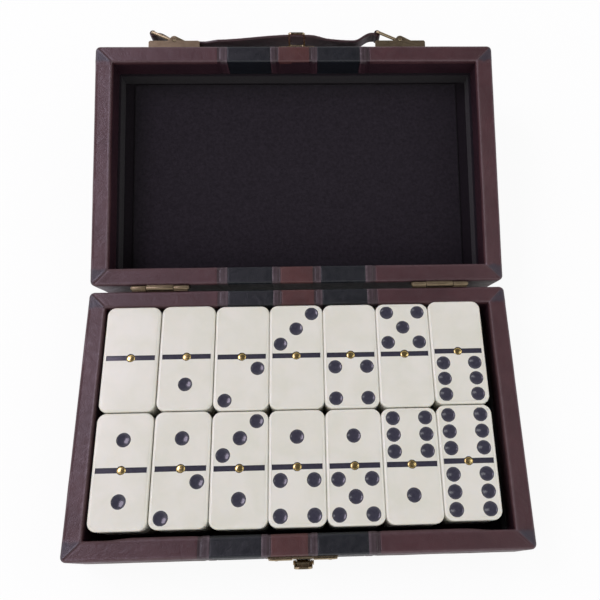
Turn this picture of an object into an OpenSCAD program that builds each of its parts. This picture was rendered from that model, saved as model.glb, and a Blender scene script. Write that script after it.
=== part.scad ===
// Domino storage box: a hinged case that holds a double-six set of dominoes, shown open.
// The origin is the centre of the base's underside. X runs to the right, Y towards the hinges, Z up.
// The lid is drawn as it lies closed on the base, and then turned open about the hinge pins.
// All sizes are in millimetres.

/* [Dominoes] */
// Width of a tile
tile_w = 25.4; // [22:0.1:30]
// Length of a tile
tile_l = 50.8; // [48:0.1:60]
// Thickness of a tile
tile_t = 12.7; // [9:0.1:15]
// Radius of a tile's corners, seen from above
tile_corner_r = 4; // [1:0.1:6]
// Chamfer along the edges of a tile's two faces
tile_chamfer = 0.9; // [0.3:0.1:1.5]
// Radius of a pip
pip_r = 3.25; // [2:0.05:3.4]
// Depth of a pip's hollow
pip_depth = 0.8; // [0.3:0.1:1.5]
// From the outer pips to the tile's end
pip_end_margin = 1.4; // [1:0.1:3]
// From the outer pips to the tile's side
pip_side_margin = 2.05; // [1.2:0.05:4]
// Width of the bar across the middle
bar_w = 2.4; // [1:0.1:4]
// From the bar's ends to the tile's sides
bar_end_margin = 1.35; // [1:0.05:3]
// From the bar to the pips next to it
bar_pip_gap = 1.3; // [0.8:0.1:2]
// Depth of the bar's groove
bar_depth = 0.5; // [0.3:0.1:1]
// Radius of the brass centre pin
spinner_r = 1.95; // [1:0.05:2.4]
// Length of the brass centre pin below the bar's groove
spinner_l = 2.5; // [1.5:0.1:5]

/* [Room round the dominoes] */
// Gap between columns of tiles
tile_gap = 0.05; // [0.03:0.01:0.5]
// Gap between the two rows of tiles
row_gap = 0.4; // [0.2:0.1:2]
// Room left of the tiles
room_left = 2; // [0.5:0.1:6]
// Room right of the tiles
room_right = 5.9; // [5:0.1:10]
// Room in front of the tiles
room_front = 3; // [1:0.1:6]
// Room behind the tiles
room_back = 1; // [0.5:0.1:4]
// Height of the upper tiles above the tray's rim
tile_rise = 2.2; // [0.5:0.1:4]

/* [Case] */
// Thickness of the wall boards
board_t = 7.5; // [5:0.1:12]
// Thickness of the bottom board and the top board
panel_t = 4; // [2.5:0.1:6]
// Thickness of the leather cloth cover
skin_t = 0.5; // [0.3:0.1:1]
// Thickness of the felt on the floors
felt_t = 0.8; // [0.5:0.1:1.5]
// Radius of the case's upright corners
corner_r = 2.5; // [1.5:0.1:5]
// Depth of the cover's fold inside the rim
turn_in = 14; // [8:0.5:18]
// Glue line in the mitred corners
glue_gap = 0.1; // [0.05:0.01:0.2]

/* [Stripes] */
// Width of the centre strip
centre_w = 16; // [8:0.5:24]
// Width of the narrow strips beside the centre strip
inner_welt_w = 4; // [2:0.5:6]
// Width of the green strips
green_w = 22; // [10:0.5:26]
// Width of the narrow strips outside the green strips
outer_welt_w = 5; // [2:0.5:8]
// Middle of the stripes on the base's front, right of the case's middle
band_front_x = -5; // [-20:0.5:20]
// Middle of the stripes on the base's back, right of the case's middle
band_back_x = -0.5; // [-20:0.5:20]
// Middle of the stripes on the lid, right of the case's middle
band_lid_x = -1; // [-20:0.5:20]

/* [Lid lining] */
// Thickness of the lining boards on the lid's walls
lining_t = 1.6; // [0.8:0.1:3]
// Thickness of the raised felt pad
pad_t = 1; // [0.5:0.1:2]
// Floor left bare at the pad's left and right
pad_side_gap = 5; // [1:0.5:10]
// Floor left bare at the pad's far and near edges
pad_end_gap = 1; // [0.5:0.5:10]

/* [Hinges] */
// Length of a hinge
hinge_len = 27; // [20:0.5:40]
// From the case's side to the nearest hinge end
hinge_inset = 19.4; // [8:0.1:40]
// Middle of the two hinges, right of the case's middle
hinge_mid_x = 1; // [-5:0.1:5]
// Length of the lid's knuckle in the middle of a hinge
mid_knuckle_len = 13; // [8:0.5:16]
// Gap between neighbouring knuckles
knuckle_gap = 0.25; // [0.1:0.05:0.5]
// Radius of the knuckles
barrel_r = 1.2; // [1:0.05:2]
// Radius of the hinge pins
pin_r = 0.55; // [0.4:0.05:0.7]
// From the hinge pin to a leaf's far edge
leaf_h = 9; // [8:0.5:12]
// Angle between the lid and its closed place, as shown
lid_open = 165; // [100:1:165]

/* [Brass fittings] */
// Thickness of the brass sheet
brass_t = 0.8; // [0.5:0.05:1]
// Radius of a rivet's head
rivet_head_r = 1.7; // [1.2:0.05:1.8]
// Height of a rivet's head
rivet_head_h = 0.8; // [0.6:0.05:1.3]
// Radius of a rivet's shank
rivet_shank_r = 0.9; // [0.6:0.05:1.1]
// Length of a rivet's shank inside the board
rivet_depth = 5; // [2:0.5:6]
// From the hinge pin to a hinge rivet
hinge_rivet_drop = 5.5; // [5.4:0.1:7]
// From the middle of a hinge to its rivets
hinge_rivet_x = 9; // [5:0.5:12]

/* [Latch] */
// Middle of the latch, right of the case's middle
latch_x = 0.7; // [-10:0.1:10]
// Width of the latch plate
latch_plate_w = 30; // [26:0.5:40]
// From the rim to the latch plate
latch_plate_drop = 2; // [1:0.1:4]
// From the lever's pin to the plate's lower edge
latch_plate_below = 2; // [1.5:0.1:4]
// From the middle of the latch to its rivets
latch_rivet_x = 11.7; // [8:0.1:12]
// From the rim to the latch rivets
latch_rivet_drop = 8.5; // [5:0.5:12]
// Width of the latch lever
lever_w = 8; // [7:0.1:9]
// Length of the latch lever, from its pin
lever_l = 12; // [10:0.1:14]
// Radius of the lever's foot round its pin
lever_foot_r = 1.2; // [1:0.05:1.4]
// Radius of the lever's pin
lever_pin_r = 0.6; // [0.4:0.05:0.8]
// Depth of the lever's side flanges beside the loop
lever_flange = 0.4; // [0.2:0.1:0.5]
// From the lever's pin to the bottom of the loop
lever_drop = 6.5; // [5:0.1:8]
// Lean of the lever out of the latched place, as shown
lever_lean = 9; // [0:1:40]
// How far the loop reaches past the rim
loop_reach = 10; // [8:0.5:12]
// Width of the loop's opening
loop_in_w = 6.7; // [6:0.1:9]
// Width of the loop's bars
loop_bar_w = 0.85; // [0.6:0.05:1.2]
// Thickness of the loop's bars
loop_bar_t = 0.9; // [0.6:0.05:1.2]
// Width of the loop's plate
hasp_plate_w = 18; // [16:0.5:24]
// Height of the loop's plate
hasp_plate_h = 10; // [8:0.5:14]
// From the rim to the loop's plate
hasp_plate_rise = 2; // [1:0.1:4]

/* [Handle] */
// Middle of the handle's two brackets, right of the case's middle
handle_x = -4; // [-15:0.5:15]
// From the parting line to the middle of the handle
handle_rise = 9; // [8:0.5:14]
// From one bracket's knuckle to the other's
handle_span = 116.5; // [90:0.5:125]
// From the ring's pivot to the bar that holds the strap
ring_l = 12.6; // [11:0.1:16]
// Width of a ring, between the middles of its wires
ring_w = 10; // [9.6:0.1:11]
// Radius of the ring's wire
ring_wire_r = 0.8; // [0.5:0.05:0.8]
// Lean of the rings out from the lid's face, as shown
ring_lean = 24; // [24:1:60]
// From a bracket's plate to the ring's pivot
knuckle_lift = 3.6; // [3.4:0.1:4.5]
// Radius of a bracket's cheeks round the pivot
cheek_r = 2.2; // [1.6:0.1:2.5]
// Height of a bracket's cheeks at their ends, from the lid
cheek_h = 4; // [3:0.1:4.5]
// Thickness of a bracket's cheeks
cheek_t = 0.8; // [0.6:0.1:1]
// Length of a bracket
bracket_l = 26; // [22:0.5:28]
// Width of the strap
strap_w = 12; // [10:0.5:13]
// Width of the strap's ends
strap_end_w = 8; // [6:0.5:8]
// Length of the strap's narrow ends
strap_end_l = 26; // [25:0.5:28]
// Thickness of the strap
strap_t = 2; // [1.6:0.1:2.5]
// Dip of the strap below the height at which it passes the brackets
strap_sag = 0.6; // [0:0.1:1]
// Rise of the strap's bow above the height at which it passes the brackets
strap_bow = 2.2; // [0:0.1:5]
// From the strap's left end to its dip
strap_low_at = 30; // [20:1:40]
// From the strap's left end to the top of its bow
strap_crest_at = 75; // [50:1:76]

/* [Hidden] */
$fn = 48;
overlap = 0.5;

// Running clearances
pin_fit = 0.06;
shank_fit = 0.05;
side_fit = 0.2;
free_fit = 0.3;
strap_left_fit = 0.05;
strap_right_fit = 0.25;
spinner_seat = 0.05;
pin_head_step = 0.4;
flare = 0.2;

// The set: each tile is [pips on its far half, pips on its near half], column by column from the left
UPPER_BACK = [[0, 0], [0, 1], [0, 2], [3, 0], [0, 4], [5, 0], [0, 6]];
UPPER_FRONT = [[1, 1], [1, 2], [3, 1], [1, 4], [1, 5], [6, 1], [6, 6]];
LOWER_BACK = [[2, 2], [2, 3], [2, 4], [2, 5], [2, 6], [3, 3], [3, 4]];
LOWER_FRONT = [[3, 5], [3, 6], [4, 4], [4, 5], [4, 6], [5, 5], [5, 6]];
ROWS = [LOWER_FRONT, LOWER_BACK, UPPER_FRONT, UPPER_BACK];
COLUMNS = len(UPPER_BACK);

// How far each column has slid: to the right in millimetres, and back as a share of the room behind
column_slip_x = [0, 0.35, 0.55, 0.55, 0.55, 0.55, 0.55];
column_slip_back = [0.3, 0.5, 0, 0.1, 0, 0, 0.9];

// Tray and case
tray_w = COLUMNS * tile_w + (COLUMNS - 1) * tile_gap + room_left + room_right;
tray_d = 2 * tile_l + row_gap + room_front + room_back;
floor_z = skin_t + panel_t + felt_t;
half_h = floor_z + 2 * tile_t - tile_rise;
rim_w = board_t + 2 * skin_t;
case_w = tray_w + 2 * rim_w;
case_d = tray_d + 2 * rim_w;
top_z = 2 * half_h;
wood_w = case_w - 2 * skin_t;
wood_d = case_d - 2 * skin_t;
wood_corner_r = corner_r - skin_t;
hollow_w = tray_w + 2 * skin_t;
hollow_d = tray_d + 2 * skin_t;
lid_felt_z = top_z - floor_z;

// Stripes, measured from the middle of the band
inner_welt_x = centre_w / 2;
green_x = inner_welt_x + inner_welt_w;
outer_welt_x = green_x + green_w;
band_edge_x = outer_welt_x + outer_welt_w;

// Hinges
hinge_x = case_w / 2 - hinge_inset - hinge_len / 2;
hinge_y = case_d / 2 + barrel_r + free_fit;
hinge_z = half_h;
notch_h = barrel_r + free_fit;
pin_head_r = pin_r + pin_head_step;
pin_head_l = 0.5;

// Rivets
rivet_dome_r = (rivet_head_r * rivet_head_r + rivet_head_h * rivet_head_h) / (2 * rivet_head_h);
shank_l = brass_t + skin_t + rivet_depth;

// Latch: the lever's web lies clear of the loop, and its flanges stand outside the plate's ears
loop_bottom_z = half_h - loop_reach;
lever_z = loop_bottom_z - lever_drop;
lever_out = brass_t + side_fit + lever_foot_r;
loop_out = brass_t + side_fit;
web_in = loop_out + loop_bar_t + side_fit + lever_flange - lever_out;
web_from = lever_foot_r + 2 * side_fit + flare;
flange_t = 0.6;
flange_top = lever_drop - 2 * free_fit;
nose_l = web_in + lever_out - loop_out;
nose_up = lever_drop + loop_bar_t + free_fit;
nose_w = loop_in_w - 4 * free_fit;
tip_share = 0.6;
ear_t = 0.7;
ear_r = lever_foot_r + flare;
ear_x = lever_w / 2 - flange_t - side_fit - ear_t / 2;
latch_rivet_z = half_h - latch_rivet_drop;
latch_plate_z = lever_z - latch_plate_below;
latch_plate_h = half_h - latch_plate_drop - latch_plate_z;
hasp_plate_z = half_h + hasp_plate_rise;
hasp_rivet_z = hasp_plate_z + hasp_plate_h / 2;
hasp_rivet_edge = 1.3;
hasp_rivet_x = hasp_plate_w / 2 - rivet_head_r - hasp_rivet_edge;
loop_foot_z = hasp_plate_z + 1;
loop_foot_h = 2.5;
loop_corner_r = 1.6;

// Handle, out from the lid's front face
handle_z = half_h + handle_rise;
left_knuckle_x = handle_x - handle_span / 2;
right_knuckle_x = handle_x + handle_span / 2;
knuckle_out = brass_t + knuckle_lift;
bracket_h = ring_w + 2 * (ring_wire_r + side_fit + cheek_t);
cheek_corner = 0.7;
cheek_rise = 3.2;
cheek_fall = 5.5;
ring_reach = ring_l * cos(ring_lean);
strap_bar_out = knuckle_out + ring_l * sin(ring_lean);
strap_left_x = left_knuckle_x - ring_reach;
strap_wrap = 0.9;
strap_end_r = ring_wire_r + strap_wrap;
strap_rest = knuckle_out + strap_t / 2;
strap_flat = 3;
strap_clear_at = ring_reach + ring_wire_r + flare;
strap_steps = 38;
bracket_rivet_x = 9;

// Dominoes
pip_x = tile_w / 2 - pip_side_margin - pip_r;
pip_near = bar_w / 2 + bar_pip_gap + pip_r;
pip_far = tile_l / 2 - pip_end_margin - pip_r;
pip_mid = (pip_near + pip_far) / 2;
pip_ball_r = (pip_r * pip_r + pip_depth * pip_depth) / (2 * pip_depth);
spinner_dome_h = bar_depth - spinner_seat;
spinner_ball_r = (spinner_r * spinner_r + spinner_dome_h * spinner_dome_h) / (2 * spinner_dome_h);
tiles_left_x = room_left + tile_w / 2 - tray_w / 2;
front_row_y = room_front + tile_l / 2 - tray_d / 2;

// Colours
LEATHER = [0.35, 0.25, 0.28];
GREEN = [0.15, 0.17, 0.18];
RED_BROWN = [0.38, 0.23, 0.21];
MAUVE = [0.42, 0.34, 0.38];
FELT = [0.11, 0.09, 0.11];
PAD_FELT = [0.15, 0.13, 0.15];
WOOD = [0.72, 0.57, 0.4];
BRASS = [0.78, 0.62, 0.34];
IVORY = [0.86, 0.83, 0.77];

TILE_NAMES = [for (row = ROWS) for (tile = row) str("tile_", min(tile), "_", max(tile))];

// Turns what is drawn in the closed place about the hinge pins to the open place
module turned_open() {
    translate([0, hinge_y, hinge_z])
        rotate([-lid_open, 0, 0])
            translate([0, -hinge_y, -hinge_z])
                children();
}

// Turns a base half upside down onto the base's rim
module upside_down() {
    translate([0, 0, top_z])
        mirror([0, 0, 1])
            children();
}

// Stands children on the case's front face, with their +Z out of the face
module on_front(x, z, out = 0) {
    translate([x, -case_d / 2 - out, z])
        rotate([90, 0, 0])
            children();
}

// Stands children on the case's back face, with their +Z out of the face
module on_back(x, z, out = 0) {
    translate([x, case_d / 2 + out, z])
        rotate([-90, 0, 0])
            children();
}

module rounded_plan(w, d, r) {
    square([w - 2 * r, d], center = true);
    square([w, d - 2 * r], center = true);
    for (x = [-1, 1], y = [-1, 1])
        translate([x * (w / 2 - r), y * (d / 2 - r)])
            circle(r = r);
}

module plan_ring(outer_w, outer_d, inner_w, inner_d) {
    difference() {
        square([outer_w, outer_d], center = true);
        square([inner_w, inner_d], center = true);
    }
}

// Four boards with mitred ends, in a frame of the given outside
module mitred_frame(w, d, t, h) {
    module board(length) {
        linear_extrude(h)
            polygon([
                [glue_gap - length / 2, 0], [length / 2 - glue_gap, 0],
                [length / 2 - glue_gap - t, t], [glue_gap + t - length / 2, t]
            ]);
    }
    for (turn = [0, 180])
        rotate(turn) {
            translate([0, -d / 2, 0])
                board(w);
            rotate(90)
                translate([0, -w / 2, 0])
                    board(d);
        }
}

// The cover of one half: outer wall, rim and the fold inside the rim
module half_skin() {
    linear_extrude(half_h)
        difference() {
            rounded_plan(case_w, case_d, corner_r);
            rounded_plan(wood_w, wood_d, wood_corner_r);
        }
    translate([0, 0, half_h - skin_t])
        linear_extrude(skin_t)
            difference() {
                rounded_plan(case_w - skin_t, case_d - skin_t, corner_r - skin_t / 2);
                square([tray_w, tray_d], center = true);
            }
    translate([0, 0, half_h - turn_in])
        linear_extrude(turn_in)
            plan_ring(hollow_w, hollow_d, tray_w, tray_d);
}

module base_skin() {
    difference() {
        half_skin();
        at_base_rivets()
            rivet_hole();
    }
}

module lid_skin() {
    difference() {
        union() {
            upside_down()
                half_skin();
            translate([0, 0, top_z - skin_t])
                linear_extrude(skin_t)
                    rounded_plan(case_w - skin_t, case_d - skin_t, corner_r - skin_t / 2);
        }
        at_lid_rivets()
            rivet_hole();
    }
}

// Block that takes a stripe's share of the cover, between two distances from the band's middle
module stripe_block(middle_x, from_x, to_x, from_y, to_y) {
    translate([middle_x + from_x, from_y, -1])
        cube([to_x - from_x, to_y - from_y, top_z + 2]);
}

module base_stripe_blocks(from_x, to_x) {
    stripe_block(band_front_x, from_x, to_x, -case_d, 0);
    stripe_block(band_back_x, from_x, to_x, 0, case_d);
}

module lid_stripe_blocks(from_x, to_x) {
    stripe_block(band_lid_x, from_x, to_x, -case_d, case_d);
}

// A rivet from the outside of its brass plate, with its head up
module rivet() {
    translate([0, 0, -shank_l])
        cylinder(h = shank_l + overlap, r = rivet_shank_r);
    intersection() {
        translate([0, 0, rivet_head_h - rivet_dome_r])
            sphere(r = rivet_dome_r);
        cylinder(h = rivet_head_h + 1, r = rivet_head_r + 1);
    }
}

module rivet_hole() {
    translate([0, 0, -shank_l - side_fit])
        cylinder(h = shank_l + side_fit + 1, r = rivet_shank_r + shank_fit);
}

module at_hinge_rivets(z) {
    for (hinge = [-1, 1], side = [-1, 1])
        on_back(hinge_mid_x + hinge * hinge_x + side * hinge_rivet_x, z, brass_t)
            children();
}

module at_base_rivets() {
    at_hinge_rivets(hinge_z - hinge_rivet_drop)
        children();
    for (side = [-1, 1])
        on_front(latch_x + side * latch_rivet_x, latch_rivet_z, brass_t)
            children();
}

module at_hasp_rivets() {
    for (side = [-1, 1])
        on_front(latch_x + side * hasp_rivet_x, hasp_rivet_z, brass_t)
            children();
}

module at_bracket_rivets(knuckle_x) {
    for (side = [-1, 1])
        on_front(knuckle_x + side * bracket_rivet_x, handle_z, brass_t)
            children();
}

module at_lid_rivets() {
    at_hinge_rivets(hinge_z + hinge_rivet_drop)
        children();
    at_hasp_rivets()
        children();
    for (knuckle_x = [left_knuckle_x, right_knuckle_x])
        at_bracket_rivets(knuckle_x)
            children();
}

// Base half

module base_boards() {
    color(WOOD)
        difference() {
            intersection() {
                translate([0, 0, skin_t + panel_t])
                    mitred_frame(wood_w, wood_d, board_t, half_h - panel_t - 2 * skin_t);
                linear_extrude(half_h)
                    rounded_plan(wood_w, wood_d, wood_corner_r);
            }
            at_base_rivets()
                rivet_hole();
        }
}

module base_bottom() {
    color(WOOD)
        translate([0, 0, skin_t])
            linear_extrude(panel_t)
                rounded_plan(wood_w, wood_d, wood_corner_r);
}

module base_cover() {
    color(LEATHER)
        difference() {
            base_skin();
            base_stripe_blocks(-band_edge_x, band_edge_x);
        }
}

module base_green_stripes() {
    color(GREEN)
        intersection() {
            base_skin();
            union() {
                base_stripe_blocks(-outer_welt_x, -green_x);
                base_stripe_blocks(green_x, outer_welt_x);
            }
        }
}

module base_centre_stripe() {
    color(RED_BROWN)
        intersection() {
            base_skin();
            base_stripe_blocks(-inner_welt_x, inner_welt_x);
        }
}

module base_welts() {
    color(MAUVE)
        intersection() {
            base_skin();
            union() {
                base_stripe_blocks(-band_edge_x, -outer_welt_x);
                base_stripe_blocks(-green_x, -inner_welt_x);
                base_stripe_blocks(inner_welt_x, green_x);
                base_stripe_blocks(outer_welt_x, band_edge_x);
            }
        }
}

module base_wall_lining() {
    color(FELT)
        translate([0, 0, floor_z])
            linear_extrude(half_h - turn_in - floor_z)
                plan_ring(hollow_w, hollow_d, tray_w, tray_d);
}

module base_floor_lining() {
    color(FELT)
        translate([0, 0, skin_t + panel_t])
            linear_extrude(felt_t)
                square([hollow_w, hollow_d], center = true);
}

module base_underside() {
    color(FELT)
        linear_extrude(skin_t)
            rounded_plan(wood_w, wood_d, wood_corner_r);
}

// Lid half

module lid_boards() {
    color(WOOD)
        turned_open()
            difference() {
                intersection() {
                    translate([0, 0, half_h + skin_t])
                        mitred_frame(wood_w, wood_d, board_t, half_h - panel_t - 2 * skin_t);
                    translate([0, 0, half_h])
                        linear_extrude(half_h)
                            rounded_plan(wood_w, wood_d, wood_corner_r);
                }
                at_lid_rivets()
                    rivet_hole();
            }
}

module lid_top() {
    color(WOOD)
        turned_open()
            translate([0, 0, top_z - skin_t - panel_t])
                linear_extrude(panel_t)
                    rounded_plan(wood_w, wood_d, wood_corner_r);
}

module lid_cover() {
    color(LEATHER)
        turned_open()
            difference() {
                lid_skin();
                lid_stripe_blocks(-band_edge_x, band_edge_x);
            }
}

module lid_green_stripes() {
    color(GREEN)
        turned_open()
            intersection() {
                lid_skin();
                union() {
                    lid_stripe_blocks(-outer_welt_x, -green_x);
                    lid_stripe_blocks(green_x, outer_welt_x);
                }
            }
}

module lid_centre_stripe() {
    color(RED_BROWN)
        turned_open()
            intersection() {
                lid_skin();
                lid_stripe_blocks(-inner_welt_x, inner_welt_x);
            }
}

module lid_welts() {
    color(MAUVE)
        turned_open()
            intersection() {
                lid_skin();
                union() {
                    lid_stripe_blocks(-band_edge_x, -outer_welt_x);
                    lid_stripe_blocks(-green_x, -inner_welt_x);
                    lid_stripe_blocks(inner_welt_x, green_x);
                    lid_stripe_blocks(outer_welt_x, band_edge_x);
                }
            }
}

module lid_wall_lining() {
    color(FELT)
        turned_open()
            translate([0, 0, half_h + turn_in])
                mitred_frame(hollow_w, hollow_d, lining_t, lid_felt_z - half_h - turn_in);
}

module lid_floor_lining() {
    color(FELT)
        turned_open()
            translate([0, 0, lid_felt_z])
                linear_extrude(felt_t)
                    square([hollow_w, hollow_d], center = true);
}

module lid_pad() {
    pad_w = hollow_w - 2 * lining_t - 2 * pad_side_gap;
    pad_d = hollow_d - 2 * lining_t - 2 * pad_end_gap;
    color(PAD_FELT)
        turned_open()
            translate([0, 0, lid_felt_z - pad_t])
                linear_extrude(pad_t)
                    rounded_plan(pad_w, pad_d, 1);
}

// Hinges

module along_x(from_x, to_x, r) {
    translate([from_x, 0, 0])
        rotate([0, 90, 0])
            cylinder(h = to_x - from_x, r = r);
}

module at_hinges() {
    for (side = [-1, 1])
        translate([hinge_mid_x + side * hinge_x, hinge_y, hinge_z])
            children();
}

// A leaf's flat sheet, with its full height only between two places along the hinge
module leaf_sheet(direction, from_x, to_x, low) {
    translate([from_x, case_d / 2 - hinge_y, direction > 0 ? low : -leaf_h])
        cube([to_x - from_x, brass_t, leaf_h - low]);
}

module hinge_base_leaves() {
    inner = mid_knuckle_len / 2 + knuckle_gap;
    outer = hinge_len / 2;
    color(BRASS)
        difference() {
            at_hinges()
                difference() {
                    union() {
                        leaf_sheet(-1, -outer, outer, notch_h);
                        leaf_sheet(-1, -outer, -inner, 0);
                        leaf_sheet(-1, inner, outer, 0);
                        along_x(-outer, -inner, barrel_r);
                        along_x(inner, outer, barrel_r);
                    }
                    along_x(-hinge_len, hinge_len, pin_r + pin_fit);
                }
            at_hinge_rivets(hinge_z - hinge_rivet_drop)
                rivet_hole();
        }
}

module hinge_lid_leaves() {
    inner = mid_knuckle_len / 2;
    outer = hinge_len / 2;
    color(BRASS)
        turned_open()
            difference() {
                at_hinges()
                    difference() {
                        union() {
                            leaf_sheet(1, -outer, outer, notch_h);
                            leaf_sheet(1, -inner, inner, 0);
                            along_x(-inner, inner, barrel_r);
                        }
                        along_x(-hinge_len, hinge_len, pin_r + pin_fit);
                    }
                at_hinge_rivets(hinge_z + hinge_rivet_drop)
                    rivet_hole();
            }
}

module hinge_pins() {
    outer = hinge_len / 2;
    color(BRASS)
        at_hinges() {
            along_x(-outer - pin_head_l, outer + pin_head_l, pin_r);
            along_x(-outer - pin_head_l, -outer, pin_head_r);
            along_x(outer, outer + pin_head_l, pin_head_r);
        }
}

module base_rivets() {
    color(BRASS)
        at_base_rivets()
            rivet();
}

module lid_rivets() {
    color(BRASS)
        turned_open()
            at_lid_rivets()
                rivet();
}

// Latch

// A brass sheet on the front face: its middle in x, its lower edge and its size
module front_sheet(x, z, w, h, t = brass_t) {
    on_front(x, z)
        translate([-w / 2, 0, 0])
            cube([w, h, t]);
}

module latch_plate() {
    color(BRASS)
        difference() {
            union() {
                front_sheet(latch_x, latch_plate_z, latch_plate_w, latch_plate_h);
                for (side = [-1, 1])
                    on_front(latch_x + side * ear_x, lever_z) {
                        translate([-ear_t / 2, -ear_r, 0])
                            cube([ear_t, 2 * ear_r, lever_out]);
                        translate([0, 0, lever_out])
                            along_x(-ear_t / 2, ear_t / 2, ear_r);
                    }
            }
            on_front(latch_x, lever_z, lever_out)
                along_x(-latch_plate_w, latch_plate_w, lever_pin_r + pin_fit);
            for (side = [-1, 1])
                on_front(latch_x + side * latch_rivet_x, latch_rivet_z, brass_t)
                    rivet_hole();
        }
}

// The outline of a lever's flange, seen from its left: +X out of the case and +Y up along the arm
module flange_outline() {
    web_out = web_in + brass_t;
    circle(r = lever_foot_r);
    polygon([
        [-lever_foot_r, 0], [web_out, 0], [web_out, lever_l - tip_share * lever_w / 2],
        [web_in - lever_flange, lever_l - tip_share * lever_w / 2], [web_in - lever_flange, flange_top],
        [-lever_foot_r, flange_top - 1]
    ]);
}

// The lever stands on its pin: +Y up along the arm and +Z out of the case
module lever_shape() {
    half = lever_w / 2;
    tip_r = tip_share * half;
    difference() {
        union() {
            translate([0, 0, web_in])
                linear_extrude(brass_t) {
                    translate([-half, web_from])
                        square([lever_w, lever_l - tip_r - web_from]);
                    translate([tip_r - half, web_from])
                        square([lever_w - 2 * tip_r, lever_l - web_from]);
                    for (side = [-1, 1])
                        translate([side * (half - tip_r), lever_l - tip_r])
                            circle(r = tip_r);
                }
            for (x = [-half, half - flange_t])
                translate([x, 0, 0])
                    rotate([0, -90, 0])
                        mirror([0, 0, 1])
                            linear_extrude(flange_t)
                                flange_outline();
            translate([-nose_w / 2, nose_up, web_in - nose_l])
                cube([nose_w, brass_t, nose_l + overlap]);
        }
        along_x(-lever_w, lever_w, lever_pin_r + pin_fit);
    }
}

module latch_lever() {
    color(BRASS)
        on_front(latch_x, lever_z, lever_out)
            rotate([lever_lean, 0, 0])
                lever_shape();
}

module latch_pin() {
    end = lever_w / 2 + side_fit / 2;
    color(BRASS)
        on_front(latch_x, lever_z, lever_out) {
            along_x(-end - pin_head_l, end + pin_head_l, lever_pin_r);
            along_x(-end - pin_head_l, -end, lever_pin_r + pin_head_step);
            along_x(end, end + pin_head_l, lever_pin_r + pin_head_step);
        }
}

module hasp_loop() {
    loop_w = loop_in_w + 2 * loop_bar_w;
    loop_h = loop_foot_z + loop_foot_h - loop_bottom_z;
    foot_y = loop_foot_z - loop_bottom_z;
    color(BRASS)
        turned_open()
            difference() {
                union() {
                    front_sheet(latch_x, hasp_plate_z, hasp_plate_w, hasp_plate_h);
                    on_front(latch_x, loop_bottom_z) {
                        translate([0, loop_h / 2, loop_out])
                            linear_extrude(loop_bar_t)
                                rounded_plan(loop_w, loop_h, loop_corner_r);
                        translate([-loop_in_w / 2, foot_y, brass_t - overlap])
                            cube([loop_in_w, loop_foot_h - loop_bar_w, loop_bar_t + overlap]);
                    }
                }
                on_front(latch_x, loop_bottom_z, loop_out - side_fit / 2)
                    translate([0, (foot_y + loop_bar_t) / 2, 0])
                        linear_extrude(loop_bar_t + 1)
                            rounded_plan(loop_in_w, foot_y - loop_bar_t, loop_corner_r - loop_bar_w);
                at_hasp_rivets()
                    rivet_hole();
            }
}

// Handle

module rod(from, to, r) {
    way = to - from;
    length = norm(way);
    translate(from)
        rotate([0, acos(way[2] / length), atan2(way[1], way[0])])
            cylinder(h = length, r = r);
}

// A ring with its pivot on the Z axis, reaching along -X, and its two ends turned out into the cheeks
module wire_ring() {
    end = bracket_h / 2;
    half = ring_w / 2;
    corners = [[0, 0, -end], [0, 0, -half], [-ring_l, 0, -half], [-ring_l, 0, half], [0, 0, half], [0, 0, end]];
    for (i = [0:4])
        rod(corners[i], corners[i + 1], ring_wire_r);
    for (i = [1:4])
        translate(corners[i])
            sphere(r = ring_wire_r * 1.04);
}

module ring_at(knuckle_x) {
    color(BRASS)
        turned_open()
            translate([knuckle_x, -case_d / 2 - knuckle_out, handle_z])
                rotate(ring_lean)
                    wire_ring();
}

module ring_left() {
    ring_at(left_knuckle_x);
}

module ring_right() {
    ring_at(right_knuckle_x);
}

// The outline of a bracket's cheek, seen from the lid's rim: +X to the right and +Y out of the lid
module cheek_outline() {
    half = bracket_l / 2;
    top = knuckle_out + cheek_r * cos(30);
    polygon([
        [-half, 0], [half, 0], [half, cheek_h - cheek_corner], [half - cheek_corner, cheek_h],
        [cheek_fall, cheek_h], [cheek_r / 2, top], [-cheek_r / 2, top],
        [-cheek_rise, cheek_h], [cheek_corner - half, cheek_h], [-half, cheek_h - cheek_corner]
    ]);
    translate([0, knuckle_out])
        circle(r = cheek_r);
}

module bracket_at(knuckle_x) {
    color(BRASS)
        turned_open()
            difference() {
                union() {
                    front_sheet(knuckle_x, handle_z - bracket_h / 2, bracket_l, bracket_h);
                    for (z = [-bracket_h / 2, bracket_h / 2 - cheek_t])
                        translate([knuckle_x, -case_d / 2, handle_z + z])
                            linear_extrude(cheek_t)
                                mirror([0, 1])
                                    cheek_outline();
                }
                translate([knuckle_x, -case_d / 2 - knuckle_out, handle_z - bracket_h])
                    cylinder(h = 2 * bracket_h, r = ring_wire_r + pin_fit);
                at_bracket_rivets(knuckle_x)
                    rivet_hole();
            }
}

module bracket_left() {
    bracket_at(left_knuckle_x);
}

module bracket_right() {
    bracket_at(right_knuckle_x);
}

// The height of the strap's middle out from the lid, at a distance from its left end
strap_knots = [
    [0, strap_bar_out], [strap_flat, strap_bar_out], [strap_clear_at, strap_rest],
    [strap_low_at, strap_rest - strap_sag], [strap_crest_at, strap_rest + strap_bow],
    [handle_span - strap_clear_at, strap_rest], [handle_span - strap_flat, strap_bar_out],
    [handle_span, strap_bar_out]
];
function eased(t) = (1 - cos(180 * t)) / 2;
function knot_after(s, i = 1) = s <= strap_knots[i][0] || i == len(strap_knots) - 1 ? i : knot_after(s, i + 1);
function strap_out(s) =
    let (a = strap_knots[knot_after(s) - 1], b = strap_knots[knot_after(s)])
        a[1] + (b[1] - a[1]) * eased((s - a[0]) / (b[0] - a[0]));
strap_places = [for (i = [0:strap_steps]) handle_span * i / strap_steps];

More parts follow.
